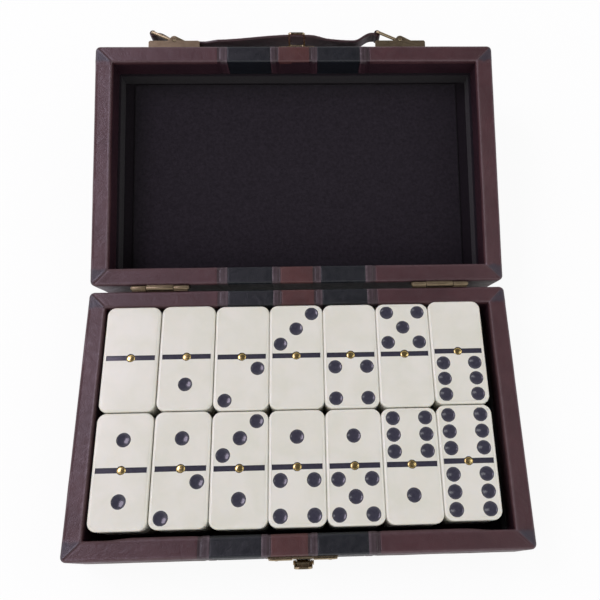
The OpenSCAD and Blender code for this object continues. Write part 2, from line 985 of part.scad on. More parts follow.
module strap_profile() {
    polygon(concat(
        [for (s = strap_places) [s, -strap_out(s) - strap_t / 2]],
        [for (i = [strap_steps:-1:0]) [strap_places[i], strap_t / 2 - strap_out(strap_places[i])]]
    ));
    for (s = [0, handle_span])
        translate([s, -strap_bar_out])
            circle(r = strap_end_r);
}

module strap_plan() {
    ends = handle_span + 4 * strap_end_r;
    translate([handle_span / 2, 0]) {
        square([ends, strap_end_w], center = true);
        square([handle_span - 2 * strap_end_l, strap_w], center = true);
    }
}

module handle_strap() {
    color(RED_BROWN)
        turned_open()
            translate([strap_left_x, -case_d / 2, handle_z])
                difference() {
                    intersection() {
                        translate([0, 0, -strap_w])
                            linear_extrude(2 * strap_w)
                                strap_profile();
                        rotate([90, 0, 0])
                            linear_extrude(strap_bar_out + strap_bow + 4 * strap_t)
                                strap_plan();
                    }
                    translate([0, -strap_bar_out, -strap_w])
                        cylinder(h = 2 * strap_w, r = ring_wire_r + strap_left_fit);
                    translate([handle_span, -strap_bar_out, -strap_w])
                        cylinder(h = 2 * strap_w, r = ring_wire_r + strap_right_fit);
                }
}

// Dominoes

// The places of the pips on one half of a tile, for 0 to 6
DIAGONAL = [[1, 1], [-1, -1]];
OTHER_DIAGONAL = [[-1, 1], [1, -1]];
CENTRE = [[0, 0]];
SIDES = [[-1, 0], [1, 0]];
PIPS = [
    [], CENTRE, DIAGONAL, concat(DIAGONAL, CENTRE), concat(DIAGONAL, OTHER_DIAGONAL),
    concat(DIAGONAL, OTHER_DIAGONAL, CENTRE), concat(DIAGONAL, OTHER_DIAGONAL, SIDES)
];

module tile_blank() {
    intersection() {
        linear_extrude(tile_t)
            rounded_plan(tile_w, tile_l, tile_corner_r);
        rotate([90, 0, 0])
            linear_extrude(2 * tile_l, center = true)
                chamfered_side(tile_w);
        rotate([90, 0, 90])
            linear_extrude(2 * tile_l, center = true)
                chamfered_side(tile_l);
    }
}

module chamfered_side(w) {
    c = tile_chamfer;
    polygon([
        [c - w / 2, 0], [w / 2 - c, 0], [w / 2, c], [w / 2, tile_t - c],
        [w / 2 - c, tile_t], [c - w / 2, tile_t], [-w / 2, tile_t - c], [-w / 2, c]
    ]);
}

module domino(halves) {
    color(IVORY)
        difference() {
            tile_blank();
            for (end = [0, 1], pip = PIPS[halves[end]])
                translate([
                    pip[0] * pip_x,
                    (1 - 2 * end) * pip_mid + pip[1] * (pip_far - pip_near) / 2,
                    tile_t + pip_ball_r - pip_depth
                ])
                    sphere(r = pip_ball_r);
            translate([bar_end_margin - tile_w / 2, -bar_w / 2, tile_t - bar_depth])
                cube([tile_w - 2 * bar_end_margin, bar_w, tile_t]);
            translate([0, 0, tile_t - bar_depth - spinner_l - spinner_seat])
                cylinder(h = tile_t, r = spinner_r + shank_fit);
        }
    color(BRASS)
        translate([0, 0, tile_t - bar_depth - spinner_l]) {
            cylinder(h = spinner_l, r = spinner_r);
            intersection() {
                translate([0, 0, spinner_l + spinner_dome_h - spinner_ball_r])
                    sphere(r = spinner_ball_r);
                translate([0, 0, spinner_l - overlap])
                    cylinder(h = 2 * overlap + spinner_dome_h, r = spinner_r);
            }
        }
}

// A tile in its place: rows 0 and 1 are the lower layer, and odd rows are the back ones
module tile_in_place(row, column) {
    translate([
        tiles_left_x + column * (tile_w + tile_gap) + column_slip_x[column],
        front_row_y + (row % 2) * (tile_l + row_gap) + column_slip_back[column] * room_back,
        floor_z + (row < 2 ? 0 : tile_t)
    ])
        domino(ROWS[row][column]);
}

base_boards();
base_bottom();
base_cover();
base_green_stripes();
base_centre_stripe();
base_welts();
base_wall_lining();
base_floor_lining();
base_underside();
lid_boards();
lid_top();
lid_cover();
lid_green_stripes();
lid_centre_stripe();
lid_welts();
lid_wall_lining();
lid_floor_lining();
lid_pad();
hinge_base_leaves();
hinge_lid_leaves();
hinge_pins();
base_rivets();
lid_rivets();
latch_plate();
latch_lever();
latch_pin();
hasp_loop();
handle_strap();
ring_left();
ring_right();
bracket_left();
bracket_right();
for (row = [0:3], column = [0:COLUMNS - 1])
    tile_in_place(row, column);
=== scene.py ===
"""Looks of a domino storage box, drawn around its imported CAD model.
Lengths are in millimetres in this file and become metres when a mesh is made.
The lid is drawn as it lies closed on the base, and then turned open about the hinge pins."""

import math

import bmesh
import bpy
import numpy as np
from mathutils import Matrix, Vector, noise
from mathutils.geometry import delaunay_2d_cdt


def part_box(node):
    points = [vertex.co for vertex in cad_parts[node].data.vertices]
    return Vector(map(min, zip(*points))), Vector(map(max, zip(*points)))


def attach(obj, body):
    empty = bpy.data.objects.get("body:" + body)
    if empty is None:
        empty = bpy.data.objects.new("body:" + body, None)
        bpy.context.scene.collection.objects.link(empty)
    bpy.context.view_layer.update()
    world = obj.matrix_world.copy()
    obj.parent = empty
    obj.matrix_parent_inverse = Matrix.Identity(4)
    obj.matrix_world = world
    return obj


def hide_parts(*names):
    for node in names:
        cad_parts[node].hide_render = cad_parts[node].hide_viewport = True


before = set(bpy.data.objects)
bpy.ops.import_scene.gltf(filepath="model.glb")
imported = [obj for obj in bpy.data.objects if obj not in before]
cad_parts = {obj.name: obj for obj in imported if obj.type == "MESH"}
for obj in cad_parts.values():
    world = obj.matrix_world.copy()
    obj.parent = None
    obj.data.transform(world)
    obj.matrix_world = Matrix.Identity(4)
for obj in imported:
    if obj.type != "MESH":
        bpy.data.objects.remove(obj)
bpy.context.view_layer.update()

MM = 0.001

# The case. RIM is how wide the covered rim is, FOLD how far the cover goes down inside it, WALL the inset of the
# boards' inner face, and UNDER how deep the cover's inner side is drawn
CASE_W, CASE_D, HALF_H = 203.0, 123.0, 28.5
CASE_FRONT, TOP_Z = -CASE_D / 2, 2 * HALF_H
RIM, FOLD, SKIN, WALL = 8.5, 14.0, 0.5, 8.0
UNDER = 0.9 * SKIN
CORNER_R, OUTER_EDGE_R, INNER_EDGE_R = 2.5, 1.3, 1.1
FLOOR_Z, FELT_T, LINING_T = 5.3, 0.8, 1.6
HINGE_Y, HINGE_Z, LID_OPEN = 63.0, 28.5, math.radians(-165)
STRAIGHT_X, STRAIGHT_Y = 84.0, 44.0
SIDES = (("left", -1), ("right", 1))

# The stripes, measured from the middle of their band
BAND_FRONT, BAND_BACK, BAND_LID = -5.0, -0.5, -1.0
CENTRE_X, GREEN_X, OUTER_X, EDGE_X = 8.0, 12.0, 34.0, 39.0

# The tiles: pips on the far half and on the near half. The last two rows are the upper layer
TILE_W, TILE_L, TILE_T = 25.4, 50.8, 12.7
TILES = [
    (3, 5), (3, 6), (4, 4), (4, 5), (4, 6), (5, 5), (5, 6),
    (2, 2), (2, 3), (2, 4), (2, 5), (2, 6), (3, 3), (3, 4),
    (1, 1), (1, 2), (3, 1), (1, 4), (1, 5), (6, 1), (6, 6),
    (0, 0), (0, 1), (0, 2), (3, 0), (0, 4), (5, 0), (0, 6),
]


def srgb(r, g, b):
    """A colour as it looks on screen, 0 to 255, as the linear colour a shader takes."""
    def linear(c):
        c /= 255
        return c / 12.92 if c <= 0.04045 else ((c + 0.055) / 1.055) ** 2.4
    return (linear(r), linear(g), linear(b), 1.0)


# ---- materials


class Nodes:
    """A node tree under construction. A node's input is given by its name or number, as a constant or as another
    node's output."""

    def __init__(self, tree):
        self.tree = tree

    def feed(self, node, inputs):
        for key, value in inputs.items():
            if isinstance(value, bpy.types.NodeSocket):
                self.tree.links.new(value, node.inputs[key])
            else:
                node.inputs[key].default_value = value

    def add(self, kind, inputs, output=0, **settings):
        node = self.tree.nodes.new(kind)
        for key, value in settings.items():
            setattr(node, key, value)
        self.feed(node, inputs)
        return node.outputs[output]

    def calc(self, operation, a, b):
        return self.add("ShaderNodeMath", {0: a, 1: b}, operation=operation)

    def ramp(self, value, low, high, out_low=0.0, out_high=1.0, kind="LINEAR"):
        return self.add(
            "ShaderNodeMapRange",
            {"Value": value, "From Min": low, "From Max": high, "To Min": out_low, "To Max": out_high},
            interpolation_type=kind,
        )

    def seen_rays(self):
        """Light paths: 1 for camera rays, and 1 for camera, glossy and transmission rays."""
        path = self.tree.nodes.new("ShaderNodeLightPath").outputs
        either = self.calc("MAXIMUM", path["Is Glossy Ray"], path["Is Transmission Ray"])
        return path["Is Camera Ray"], self.calc("MAXIMUM", path["Is Camera Ray"], either)


class Shader(Nodes):
    """A material under construction, with its textures in millimetres of the object's own frame."""

    def __init__(self, name):
        self.material = bpy.data.materials.new(name)
        self.material.use_nodes = True
        super().__init__(self.material.node_tree)
        self.mm = self.stretched((1000, 1000, 1000), self.add("ShaderNodeTexCoord", {}, "Object"))
        self.normal = None

    def stretched(self, scale, vector=None):
        return self.add("ShaderNodeMapping", {"Vector": vector or self.mm, "Scale": scale})

    def noise(self, scale, detail=2.0, rough=0.5, distortion=0.0, vector=None):
        return self.add("ShaderNodeTexNoise", {
            "Vector": vector or self.mm, "Scale": scale, "Detail": detail, "Roughness": rough, "Distortion": distortion,
        }, "Fac")

    def cells(self, scale):
        return self.add("ShaderNodeTexVoronoi", {"Vector": self.mm, "Scale": scale}, "Distance", feature="SMOOTH_F1")

    def attribute(self, name):
        return self.add("ShaderNodeAttribute", {}, "Fac", attribute_name=name)

    def times(self, a, b):
        return self.calc("MULTIPLY", a, b)

    def mix(self, share, a, b):
        """A mix of two colours, each a node's output or a colour as it looks on screen."""
        a, b = (srgb(*c) if isinstance(c, tuple) else c for c in (a, b))
        return self.add("ShaderNodeMix", {0: share, 6: a, 7: b}, 2, data_type="RGBA")

    def bump(self, height, depth_mm, strength):
        inputs = {"Strength": strength, "Distance": depth_mm * MM, "Height": height}
        if self.normal:
            inputs["Normal"] = self.normal
        self.normal = self.add("ShaderNodeBump", inputs)

    def finish(self, colour, rough, **constants):
        """The material. The constants are other inputs of its surface, with _ for each space in their names."""
        inputs = {"Base Color": colour, "Roughness": rough, "Normal": self.normal}
        inputs.update({key.replace("_", " "): value for key, value in constants.items()})
        self.feed(self.tree.nodes["Principled BSDF"], inputs)
        return self.material


def leather_cloth(name, colour, deep, worn_and_lit, dark_corner=None, rough=0.4):
    """Vinyl-coated cloth: fine pebble grain, soft undulation, lighter where it is stretched over an edge: partly
    wear, partly painted highlight.
    """
    s = Shader(name)
    shade = s.mix(s.ramp(s.noise(0.06, 3, 0.6), 0.32, 0.68), colour, deep)
    fleck = s.ramp(s.noise(0.9, 4, 0.7), 0.35, 0.75)
    shade = s.mix(s.times(fleck, 0.28), shade, deep)
    # Mixed towards the worn colour by the point's wear value: real wear, and painted highlight on the rims' rounded
    # edges, the corner folds and the narrow strips
    shade = s.mix(s.times(s.attribute("wear_and_highlight"), s.ramp(s.noise(0.5, 3), 0.3, 0.7, 0.25, 0.9)), shade, worn_and_lit)
    # The rims' folded corners are coloured darker and bluer
    if dark_corner:
        shade = s.mix(s.times(s.attribute("dark_corner"), s.ramp(s.noise(0.25, 3), 0.2, 0.8, 0.55, 1.0)), shade, dark_corner)
    s.bump(s.noise(0.22, 3, 0.55, 0.6), 0.30, 0.55)
    s.bump(s.ramp(s.cells(2.4), 0.05, 0.55), 0.05, 0.45)
    s.bump(s.noise(5.5, 2), 0.02, 0.5)
    return s.finish(
        shade, s.ramp(s.noise(0.35, 3), 0.3, 0.7, rough - 0.05, rough + 0.07), Specular_IOR_Level=0.5
    )


def felt(name, colour, light, clump=0.55, fuzz=0.16):
    """Pressed felt: fibres too fine to part, in loose clumps, with a soft bloom at grazing angles."""
    s = Shader(name)
    fibres = s.ramp(s.noise(2.8, 5, 0.75, 0.8), 0.35, 0.7)
    clumps = s.ramp(s.noise(clump, 3, 0.65), 0.3, 0.72)
    shade = s.mix(s.times(clumps, 0.7), colour, light)
    shade = s.mix(s.times(fibres, 0.5), shade, light)
    s.bump(s.noise(1.1, 4, 0.7), fuzz * 1.6, 0.6)
    s.bump(s.noise(4.2, 4, 0.8, 1.0), fuzz, 0.8)
    return s.finish(shade, 0.95, Specular_IOR_Level=0.05, Sheen_Weight=0.08, Sheen_Roughness=0.6)


def brass(name, colour, dark, rough=0.26):
    """Thin plated brass, satin, with a dull bloom in patches."""
    s = Shader(name)
    bloom = s.ramp(s.noise(0.3, 3, 0.6), 0.4, 0.75)
    speck = s.ramp(s.noise(1.6, 3, 0.7), 0.58, 0.85)
    shade = s.mix(s.times(bloom, 0.5), colour, dark)
    shade = s.mix(s.times(speck, 0.3), shade, dark)
    s.bump(s.noise(0.35, 2), 0.04, 0.25)
    return s.finish(shade, s.ramp(s.noise(0.6, 3, 0.6), 0.3, 0.7, rough - 0.05, rough + 0.1), Metallic=1.0)


def ivory_resin():
    """Cast resin with a faint cloud in it, polished, with hair-fine scratches."""
    s = Shader("ivory_resin")
    cloud = s.ramp(s.noise(0.07, 3, 0.5, 0.4), 0.35, 0.65)
    shade = s.mix(cloud, (220, 218, 208), (214, 213, 200))
    shade = s.mix(s.ramp(s.noise(0.5, 4, 0.6), 0.5, 0.8, 0, 0.25), shade, (226, 221, 208))
    s.bump(s.noise(0.25, 2), 0.03, 0.2)
    s.bump(s.noise(6.0, 2, 0.5, vector=s.stretched((1, 0.08, 1))), 0.003, 0.4)
    return s.finish(
        shade, s.ramp(s.noise(0.6, 4), 0.3, 0.7, 0.2, 0.27),
        Subsurface_Weight=0.3, Subsurface_Radius=(1.0, 0.8, 0.6), Subsurface_Scale=0.0025,
    )


def black_enamel_painted_reflection():
    s = Shader("black_enamel_painted_reflection")
    # The pips' black enamel is coloured a lighter, bluer grey: the black is its own, the grey is painted reflection of
    # the room
    shade = s.mix(s.ramp(s.noise(0.8, 3), 0.35, 0.7), (53, 52, 64), (62, 61, 73))
    s.bump(s.noise(1.6, 2), 0.02, 0.3)
    return s.finish(shade, s.ramp(s.noise(2.0, 3), 0.3, 0.7, 0.13, 0.2), Specular_IOR_Level=0.5)


def board_wood():
    s = Shader("board_wood")
    grain = s.noise(0.9, 5, 0.65, 1.2, vector=s.stretched((0.06, 1, 1)))
    shade = s.mix(s.ramp(grain, 0.35, 0.7), (196, 160, 112), (158, 120, 78))
    s.bump(grain, 0.1, 0.4)
    return s.finish(shade, 0.7)


# Colours as they look on screen: the main one, a deeper or lighter one, and that of worn places, which also
# stands for painted highlight
BURGUNDY = leather_cloth("burgundy_cloth", (71, 43, 47), (61, 36, 40), (98, 76, 82), dark_corner=(48, 46, 56))
# The cloth of the folds inside the case: the same cloth, darker, which is painted shade
BURGUNDY_PAINTED_SHADE = leather_cloth("burgundy_fold_painted_shade", (50, 28, 36), (38, 21, 29), (70, 46, 54))
GREEN = leather_cloth("green_cloth", (17, 20, 27), (12, 15, 21), (42, 48, 54))
RED_BROWN = leather_cloth("red_brown_cloth", (80, 46, 45), (66, 37, 37), (104, 74, 72))
MAUVE = leather_cloth("mauve_cloth", (58, 44, 48), (42, 30, 34), (90, 77, 83))
STRAP = leather_cloth("strap_leather", (60, 32, 36), (44, 24, 28), (92, 62, 64))
UNDERSIDE = leather_cloth("underside_cloth", (44, 36, 40), (34, 28, 32), (64, 56, 60), rough=0.55)
LINING = felt("lining_felt", (19, 13, 19), (28, 22, 29))
PAD = felt("pad_felt", (18, 14, 20), (42, 37, 44), clump=0.6, fuzz=0.2)
BRASS = brass("brass", (176, 160, 132), (112, 94, 70))
# Hinges and handle brackets: darker, rougher brass; the roughness is their own, the darker colour is painted shade
DULL_BRASS_PAINTED_SHADE = brass("dull_brass_painted_shade", (134, 120, 98), (96, 80, 60), rough=0.4)
BRIGHT_BRASS = brass("bright_brass", (216, 190, 130), (150, 120, 72), rough=0.2)
IVORY = ivory_resin()
ENAMEL_PAINTED_REFLECTION = black_enamel_painted_reflection()
WOOD = board_wood()
THREAD = felt("thread", (60, 34, 36), (84, 54, 54), clump=2.0, fuzz=0.05)


# ---- meshes

# The bodies whose pieces are drawn with the lid closed, and turned open with it
LID_BODIES = ("lid", "ring_left", "ring_right", "strap")


def opened(p):
    """Points of the closed lid, turned about the hinge pins to the open place."""
    c, s = math.cos(LID_OPEN), math.sin(LID_OPEN)
    y, z = p[:, 1] - HINGE_Y, p[:, 2] - HINGE_Z
    return np.stack([p[:, 0], HINGE_Y + y * c - z * s, HINGE_Z + y * s + z * c], axis=1)


def piece(name, verts, faces, materials, body, slot, stands_for=None, face_mats=None, sharp=38, values=None):
    """A shown piece of the object, from points in millimetres."""
    verts = np.asarray(verts, float)
    if body in LID_BODIES:
        verts = opened(verts)
    mesh = bpy.data.meshes.new(name)
    mesh.from_pydata([tuple(v) for v in verts * MM], [], faces)
    for m in materials:
        mesh.materials.append(m)
    if face_mats is not None:
        mesh.polygons.foreach_set("material_index", face_mats)
    for key, numbers in (values or {}).items():
        layer = mesh.attributes.new(key, "FLOAT", "POINT")
        layer.data.foreach_set("value", np.asarray(numbers, np.float32))
    bm = bmesh.new()
    bm.from_mesh(mesh)
    bmesh.ops.recalc_face_normals(bm, faces=bm.faces)
    bm.to_mesh(mesh)
    bm.free()
    mesh.shade_smooth()
    mesh.set_sharp_from_angle(angle=math.radians(sharp))
    obj = bpy.data.objects.new(name, mesh)
    bpy.context.scene.collection.objects.link(obj)
    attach(obj, body)
    if stands_for:
        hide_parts(stands_for)
    return obj


def rungs(a, b):
    """Faces between two rings of points, from the points' numbers."""
    return [(a[j], a[k], b[k], b[j]) for j, k in enumerate([*range(1, len(a)), 0])]


def tube_faces(rows, n, first=0):
    """Faces of a tube of rings of n points each, with both its ends."""
    rings = [range(first + i * n, first + (i + 1) * n) for i in range(rows)]
    faces = [face for a, b in zip(rings, rings[1:]) for face in rungs(a, b)]
    return faces + [tuple(reversed(rings[0])), tuple(rings[-1])]


def circle(steps):
    return [(math.cos(a), math.sin(a)) for a in np.linspace(0, 2 * math.pi, steps, endpoint=False)]


def thick_grid(outer, inner, loop=False, capped=False):
    """Points and faces of a closed sheet between two grids of rows and columns. A capped grid's first row is
    filled across, on both sides."""
    rows, cols = outer.shape[:2]
    count = rows * cols
    verts = np.concatenate([outer.reshape(-1, 3), inner.reshape(-1, 3)])
    faces = []

    def at(side, i, j):
        return side * count + i * cols + j % cols

    last = cols if loop else cols - 1
    for i in range(rows - 1):
        for j in range(last):
            faces.append((at(0, i, j), at(0, i, j + 1), at(0, i + 1, j + 1), at(0, i + 1, j)))
            faces.append((at(1, i + 1, j), at(1, i + 1, j + 1), at(1, i, j + 1), at(1, i, j)))
    for i in [rows - 1] if capped else [0, rows - 1]:
        for j in range(last):
            faces.append((at(0, i, j), at(0, i, j + 1), at(1, i, j + 1), at(1, i, j)))
    for j in () if loop else (0, cols - 1):
        for i in range(rows - 1):
            faces.append((at(0, i, j), at(0, i + 1, j), at(1, i + 1, j), at(1, i, j)))
    if capped:
        faces.append(tuple(at(0, 0, j) for j in range(cols)))
        faces.append(tuple(at(1, 0, j) for j in reversed(range(cols))))
        faces.append((at(0, 0, cols - 1), at(0, 0, 0), at(1, 0, 0), at(1, 0, cols - 1)))
    return verts, faces


def on_outside(numbers):
    """A value for each point of a thick grid, 0 on its inner side."""
    return np.concatenate([numbers.ravel(), np.zeros(numbers.size)])


def turn_over(*grids):
    """Turns grids that are drawn like the base's over, to lie in the closed lid."""
    for grid in grids:
        grid[..., 2] = TOP_Z - grid[..., 2]


def clamp(x):
    return min(1.0, max(0.0, x))


def ease(x):
    """From 0 to 1, level at both ends."""
    x = clamp(x)
    return x * x * (3 - 2 * x)


def hump(x, width):
    """1 at 0, and falling away on both sides."""
    return math.exp(-(x / width) ** 2)


def soft_step(x):
    """From 0 far below 0 to 1 far above it."""
    return 1 / (1 + math.exp(-x))


def arc(cu, cz, r, start, end, steps):
    """Points of a profile's arc, from one angle to another in degrees."""
    return [
        (cu + r * math.cos(math.radians(a)), cz + r * math.sin(math.radians(a)))
        for a in np.linspace(start, end, steps)
    ]


def wall_profile(foot):
    """One half's cover in section: (inset from the outside, height), over the rim and down the fold."""
    points = list(foot)
    points += [(0.0, z) for z in np.arange(4.0, HALF_H - OUTER_EDGE_R - 1, 3.0)]
    points += arc(OUTER_EDGE_R, HALF_H - OUTER_EDGE_R, OUTER_EDGE_R, 180, 90, 6)
    points += [(u, HALF_H) for u in np.linspace(OUTER_EDGE_R, RIM - INNER_EDGE_R, 12)[1:-1]]
    points += arc(RIM - INNER_EDGE_R, HALF_H - INNER_EDGE_R, INNER_EDGE_R, 90, 0, 5)
    points += [(RIM, z) for z in np.linspace(HALF_H - INNER_EDGE_R, HALF_H - FOLD, 8)[1:]]
    return np.array(points)


def profile_normals(profile):
    ahead = np.gradient(profile, axis=0)
    ahead /= np.linalg.norm(ahead, axis=1)[:, None]
    return np.stack([-ahead[:, 1], ahead[:, 0]], axis=1)


BASE_PROFILE = wall_profile([(0.45, 0.0), (0.12, 0.12), (0.0, 0.5)])
LID_PROFILE = wall_profile([(12.0, 0.0), (6.0, 0.0), (3.0, 0.0)] + arc(1.3, 1.3, 1.3, 270, 180, 5))
HALVES = (("base", BASE_PROFILE, BAND_FRONT, BAND_BACK), ("lid", LID_PROFILE, BAND_LID, BAND_LID))
TUCK_STEPS = (0.0, 0.12, 0.3, 0.6, 1.1, 1.8)


def spaced(a, b, step):
    """Places from a to b, close together near a, where a strip's edge is tucked in."""
    way = 1 if b > a else -1
    rest = np.arange(a + way * (TUCK_STEPS[-1] + step), b, way * step)
    return [a + way * e for e in TUCK_STEPS] + list(rest) + [b]


def place(station, u, z):
    """A point of the case's wall from its station along the wall, its inset and its height."""
    sx, sy, mode, value = station
    a, b = CASE_W / 2 - u, CASE_D / 2 - u
    r = max(CORNER_R - u, 0.3)
    if mode == "x":
        return (value, sy * b, z)
    if mode == "x_end":
        return (sx * (STRAIGHT_X + value * (a - r - STRAIGHT_X)), sy * b, z)
    if mode == "arc":
        return (sx * (a - r + r * math.sin(value)), sy * (b - r + r * math.cos(value)), z)
    if mode == "y_end":
        return (sx * a, sy * (STRAIGHT_Y + value * (b - r - STRAIGHT_Y)), z)
    return (sx * a, value, z)


END_STEPS = list(np.linspace(0, 1, 26)[1:])
ARC_STEPS = list(np.radians(np.linspace(0, 90, 7)[1:]))


def side_stations(sx, cut_front, cut_back):
    """Stations of the cover on one side of the stripes, from the front cut round to the back cut."""
    found = [(sx, -1, "x", x) for x in spaced(cut_front, sx * STRAIGHT_X, 3.0)]
    found += [(sx, -1, "x_end", t) for t in END_STEPS]
    found += [(sx, -1, "arc", t) for t in ARC_STEPS]
    found += [(sx, -1, "y_end", t) for t in reversed([0] + END_STEPS[:-1])]
    found += [(sx, 0, "y", y) for y in np.linspace(-STRAIGHT_Y, STRAIGHT_Y, 31)[1:-1]]
    found += [(sx, 1, "y_end", t) for t in [0] + END_STEPS]
    found += [(sx, 1, "arc", t) for t in reversed([0] + ARC_STEPS[:-1])]
    found += [(sx, 1, "x_end", t) for t in reversed([0] + END_STEPS[:-1])]
    found += [(sx, 1, "x", x) for x in reversed(spaced(cut_back, sx * STRAIGHT_X, 3.0)[:-1])]
    return found


def loop_stations():
    """Stations all round the case."""
    found = []
    for sx, sy in ((-1, -1), (-1, 1), (1, 1), (1, -1)):
        arcs = [(sx, sy, "arc", t) for t in np.radians(np.linspace(0, 90, 4))]
        ends_x = [(sx, sy, "x_end", t) for t in np.linspace(0, 1, 7)[:-1]]
        ends_y = [(sx, sy, "y_end", t) for t in np.linspace(0, 1, 7)[:-1]]
        if sx * sy > 0:
            found += ends_x + arcs + ends_y[::-1]
        else:
            found += ends_y + arcs[::-1] + ends_x[::-1]
    return found


def bulge(x, y, z, seed):
    """The soft unevenness of cloth that is glued over wood, in millimetres along its normal."""
    slow = noise.noise((x * 0.05 + seed, y * 0.05, z * 0.07))
    return 0.13 * slow + 0.05 * noise.noise((x * 0.21, y * 0.21 + seed, z * 0.21))


TUCK_DEPTH, TUCK_REACH = 0.34, 0.7


def tuck(distance):
    """How far a strip's cut edge dips, by the distance from the edge."""
    t = 1 - min(distance / TUCK_REACH, 1)
    return -TUCK_DEPTH * (1 - math.sqrt(max(0.0, 1 - t * t)))


# The folded corners: how far in their folds are drawn and end, and where their darker, bluer colour ends
MITRE_SIZE, MITRE_END, DARK_CORNER_END = 13.0, 9.2, 8.0
LAP, RIDGE, CREASE, RIPPLE, CORNER_STEP = 0.16, 0.2, 0.14, 0.12, 0.13


def mitre(x, y, seed):
    """The folded corner on the rim: a lap along the mitre line, a crease beside it and small wrinkles.
    Returns the height, how far its darker, bluer colour shows and how much the fold is lightened by rubbing and painted
    highlight."""
    s, t = CASE_W / 2 - abs(x), CASE_D / 2 - abs(y)
    if max(s, t) > MITRE_SIZE:
        return 0.0, 0.0, 0.0
    off = (t - s) / math.sqrt(2)
    near = soft_step((MITRE_END - max(s, t)) * 3)
    fold = LAP * soft_step(off * 6) + RIDGE * hump(off - 0.12, 0.32) - CREASE * hump(off + 0.55, 0.38)
    fold += RIPPLE * math.exp(-abs(off) / 2.6) * noise.noise((off * 1.1 + seed, (s + t) * 0.16, seed * 3))
    edge = CORNER_STEP * hump(t - DARK_CORNER_END - 0.5 * noise.noise((s * 0.4, seed, 0)), 0.35) if s < t else 0.0
    ragged = DARK_CORNER_END + 0.9 * noise.noise((s * 0.5, seed * 2, 0))
    shown = soft_step(off * 7) * soft_step((ragged - t) * 4)
    broken = clamp(0.5 + 1.6 * noise.noise(((s + t) * 0.28, seed, 7)))
    beside = clamp(0.1 + 2.2 * noise.noise(((s + t) * 0.22, seed, 3)))
    # Lighter strokes on the fold's ridge and just beside it: rubbing, and painted highlight
    rubbed_and_lit = broken * hump(off - 0.25, 0.3) + beside * hump(off - 2.3, 0.28)
    return near * fold + edge, shown, near * rubbed_and_lit


# The padded fold: its thickness, the width over which it ends, how deep its middle is and how high it is
ROLL_T, ROLL_FADE, ROLL_DEPTH, ROLL_H = 0.95, 12.0, 2.0, 3.2


def roll(x, y, z, nu, lid):
    """How far the fold of the base's front wall is padded towards the tiles."""
    if lid or y > 0 or nu <= 0:
        return 0.0
    fade = ease((STRAIGHT_X - 0.5 - abs(x)) / ROLL_FADE)
    return ROLL_T * fade * nu * nu * hump(HALF_H - ROLL_DEPTH - z, ROLL_H)


# How far the cover stays under the plane in which the two rims meet, and how far it may dip on a rounded edge,
# where the board's corner is close under it
RIM_DOWN, RIM_GAP, EDGE_DIP = 0.22, 0.01, -0.06


def seated(h, nu, nz, z):
    """A height over the cover, kept under the rims' plane, and nearly level on a rounded edge."""
    if z > HALF_H / 2 and nz > 0:
        h += nz * (min(0.6 * h - RIM_DOWN, -RIM_GAP) - h)
    if min(abs(nu), abs(nz)) > 0.1:
        h = max(h, EDGE_DIP)
    return h


def edge_wear_and_highlight(u, z, outside, inside):
    """How much the cloth is lightened by its place on the rim's two rounded edges: wear, and painted highlight."""
    return (outside * hump(u, 0.9) + inside * hump(u - RIM, 0.9)) * hump(z - HALF_H, 1.2)


def wall_sheet(stations, profile, height):
    """Outer and inner grid of cloth on a half's walls, from its height over the profile at each point."""
    outer = np.zeros((len(profile), len(stations), 3))
    inner = np.zeros_like(outer)
    for i, ((u, z), (nu, nz)) in enumerate(zip(profile, profile_normals(profile))):
        for j, station in enumerate(stations):
            h = seated(height(i, j, u, z, nu, nz), nu, nz, z)
            outer[i, j] = place(station, u + nu * h, z + nz * h)
            inner[i, j] = place(station, u - nu * UNDER, z - nz * UNDER)
    return outer, inner


def cover_grid(stations, profile, lid, seed, cut):
    """The cover's outer and inner grid, and for each point its wear and painted highlight and how far its darker,
    bluer corner shows.
    """
    wear_and_highlight, dark_corner = np.zeros((2, len(profile), len(stations)))

    def height(i, j, u, z, nu, nz):
        _, sy, mode, _ = stations[j]
        x, y, _ = place(stations[j], u, z)
        h = bulge(x, y, z, seed)
        if mode == "x":
            h += tuck(abs(x - cut[sy > 0])) + roll(x, y, z, nu, lid)
        wear_and_highlight[i, j] = edge_wear_and_highlight(u, z, 0.75, 0.55)
        if nz > 0 and z > HALF_H / 2:
            fold, shown, rubbed_and_lit = mitre(x, y, seed)
            h += fold * nz
            dark_corner[i, j] = shown * nz
            wear_and_highlight[i, j] = min(1.0, wear_and_highlight[i, j] + rubbed_and_lit * nz)
        return h

    outer, inner = wall_sheet(stations, profile, height)
    return outer, inner, {"wear_and_highlight": on_outside(wear_and_highlight), "dark_corner": on_outside(dark_corner)}


def make_covers():
    for half, profile, front, back in HALVES:
        lid = half == "lid"
        for side, sx in SIDES:
            cut = (front + sx * EDGE_X, back + sx * EDGE_X)
            seed = 3.7 * (1 + lid * 2 + (sx > 0))
            outer, inner, values = cover_grid(side_stations(sx, *cut), profile, lid, seed, cut)
            if lid:
                turn_over(outer, inner)
            verts, faces = thick_grid(outer, inner, capped=lid)
            # The fold inside the case takes a darker copy of the cloth, which is painted shade
            rows, cols = outer.shape[:2]
            u, z = profile.T
            first_in = int(np.argmax((u >= RIM - 0.02) & (z < HALF_H - INNER_EDGE_R) & (z > 1)))
            inside = [
                int(len(face) == 4 and min(v % (rows * cols) for v in face) // cols >= first_in) for face in faces
            ]
            piece(
                f"{half}_cover_{side}", verts, faces, [BURGUNDY, BURGUNDY_PAINTED_SHADE], half, "leather_cloth",
                f"{half}_cover", face_mats=inside, values=values,
            )


def strip_columns(x0, x1):
    """Columns across a strip, close together at both edges."""
    middle = (x0 + x1) / 2
    return spaced(x0, middle, 2.5)[:-1] + [middle] + spaced(x1, middle, 2.5)[:-1][::-1]


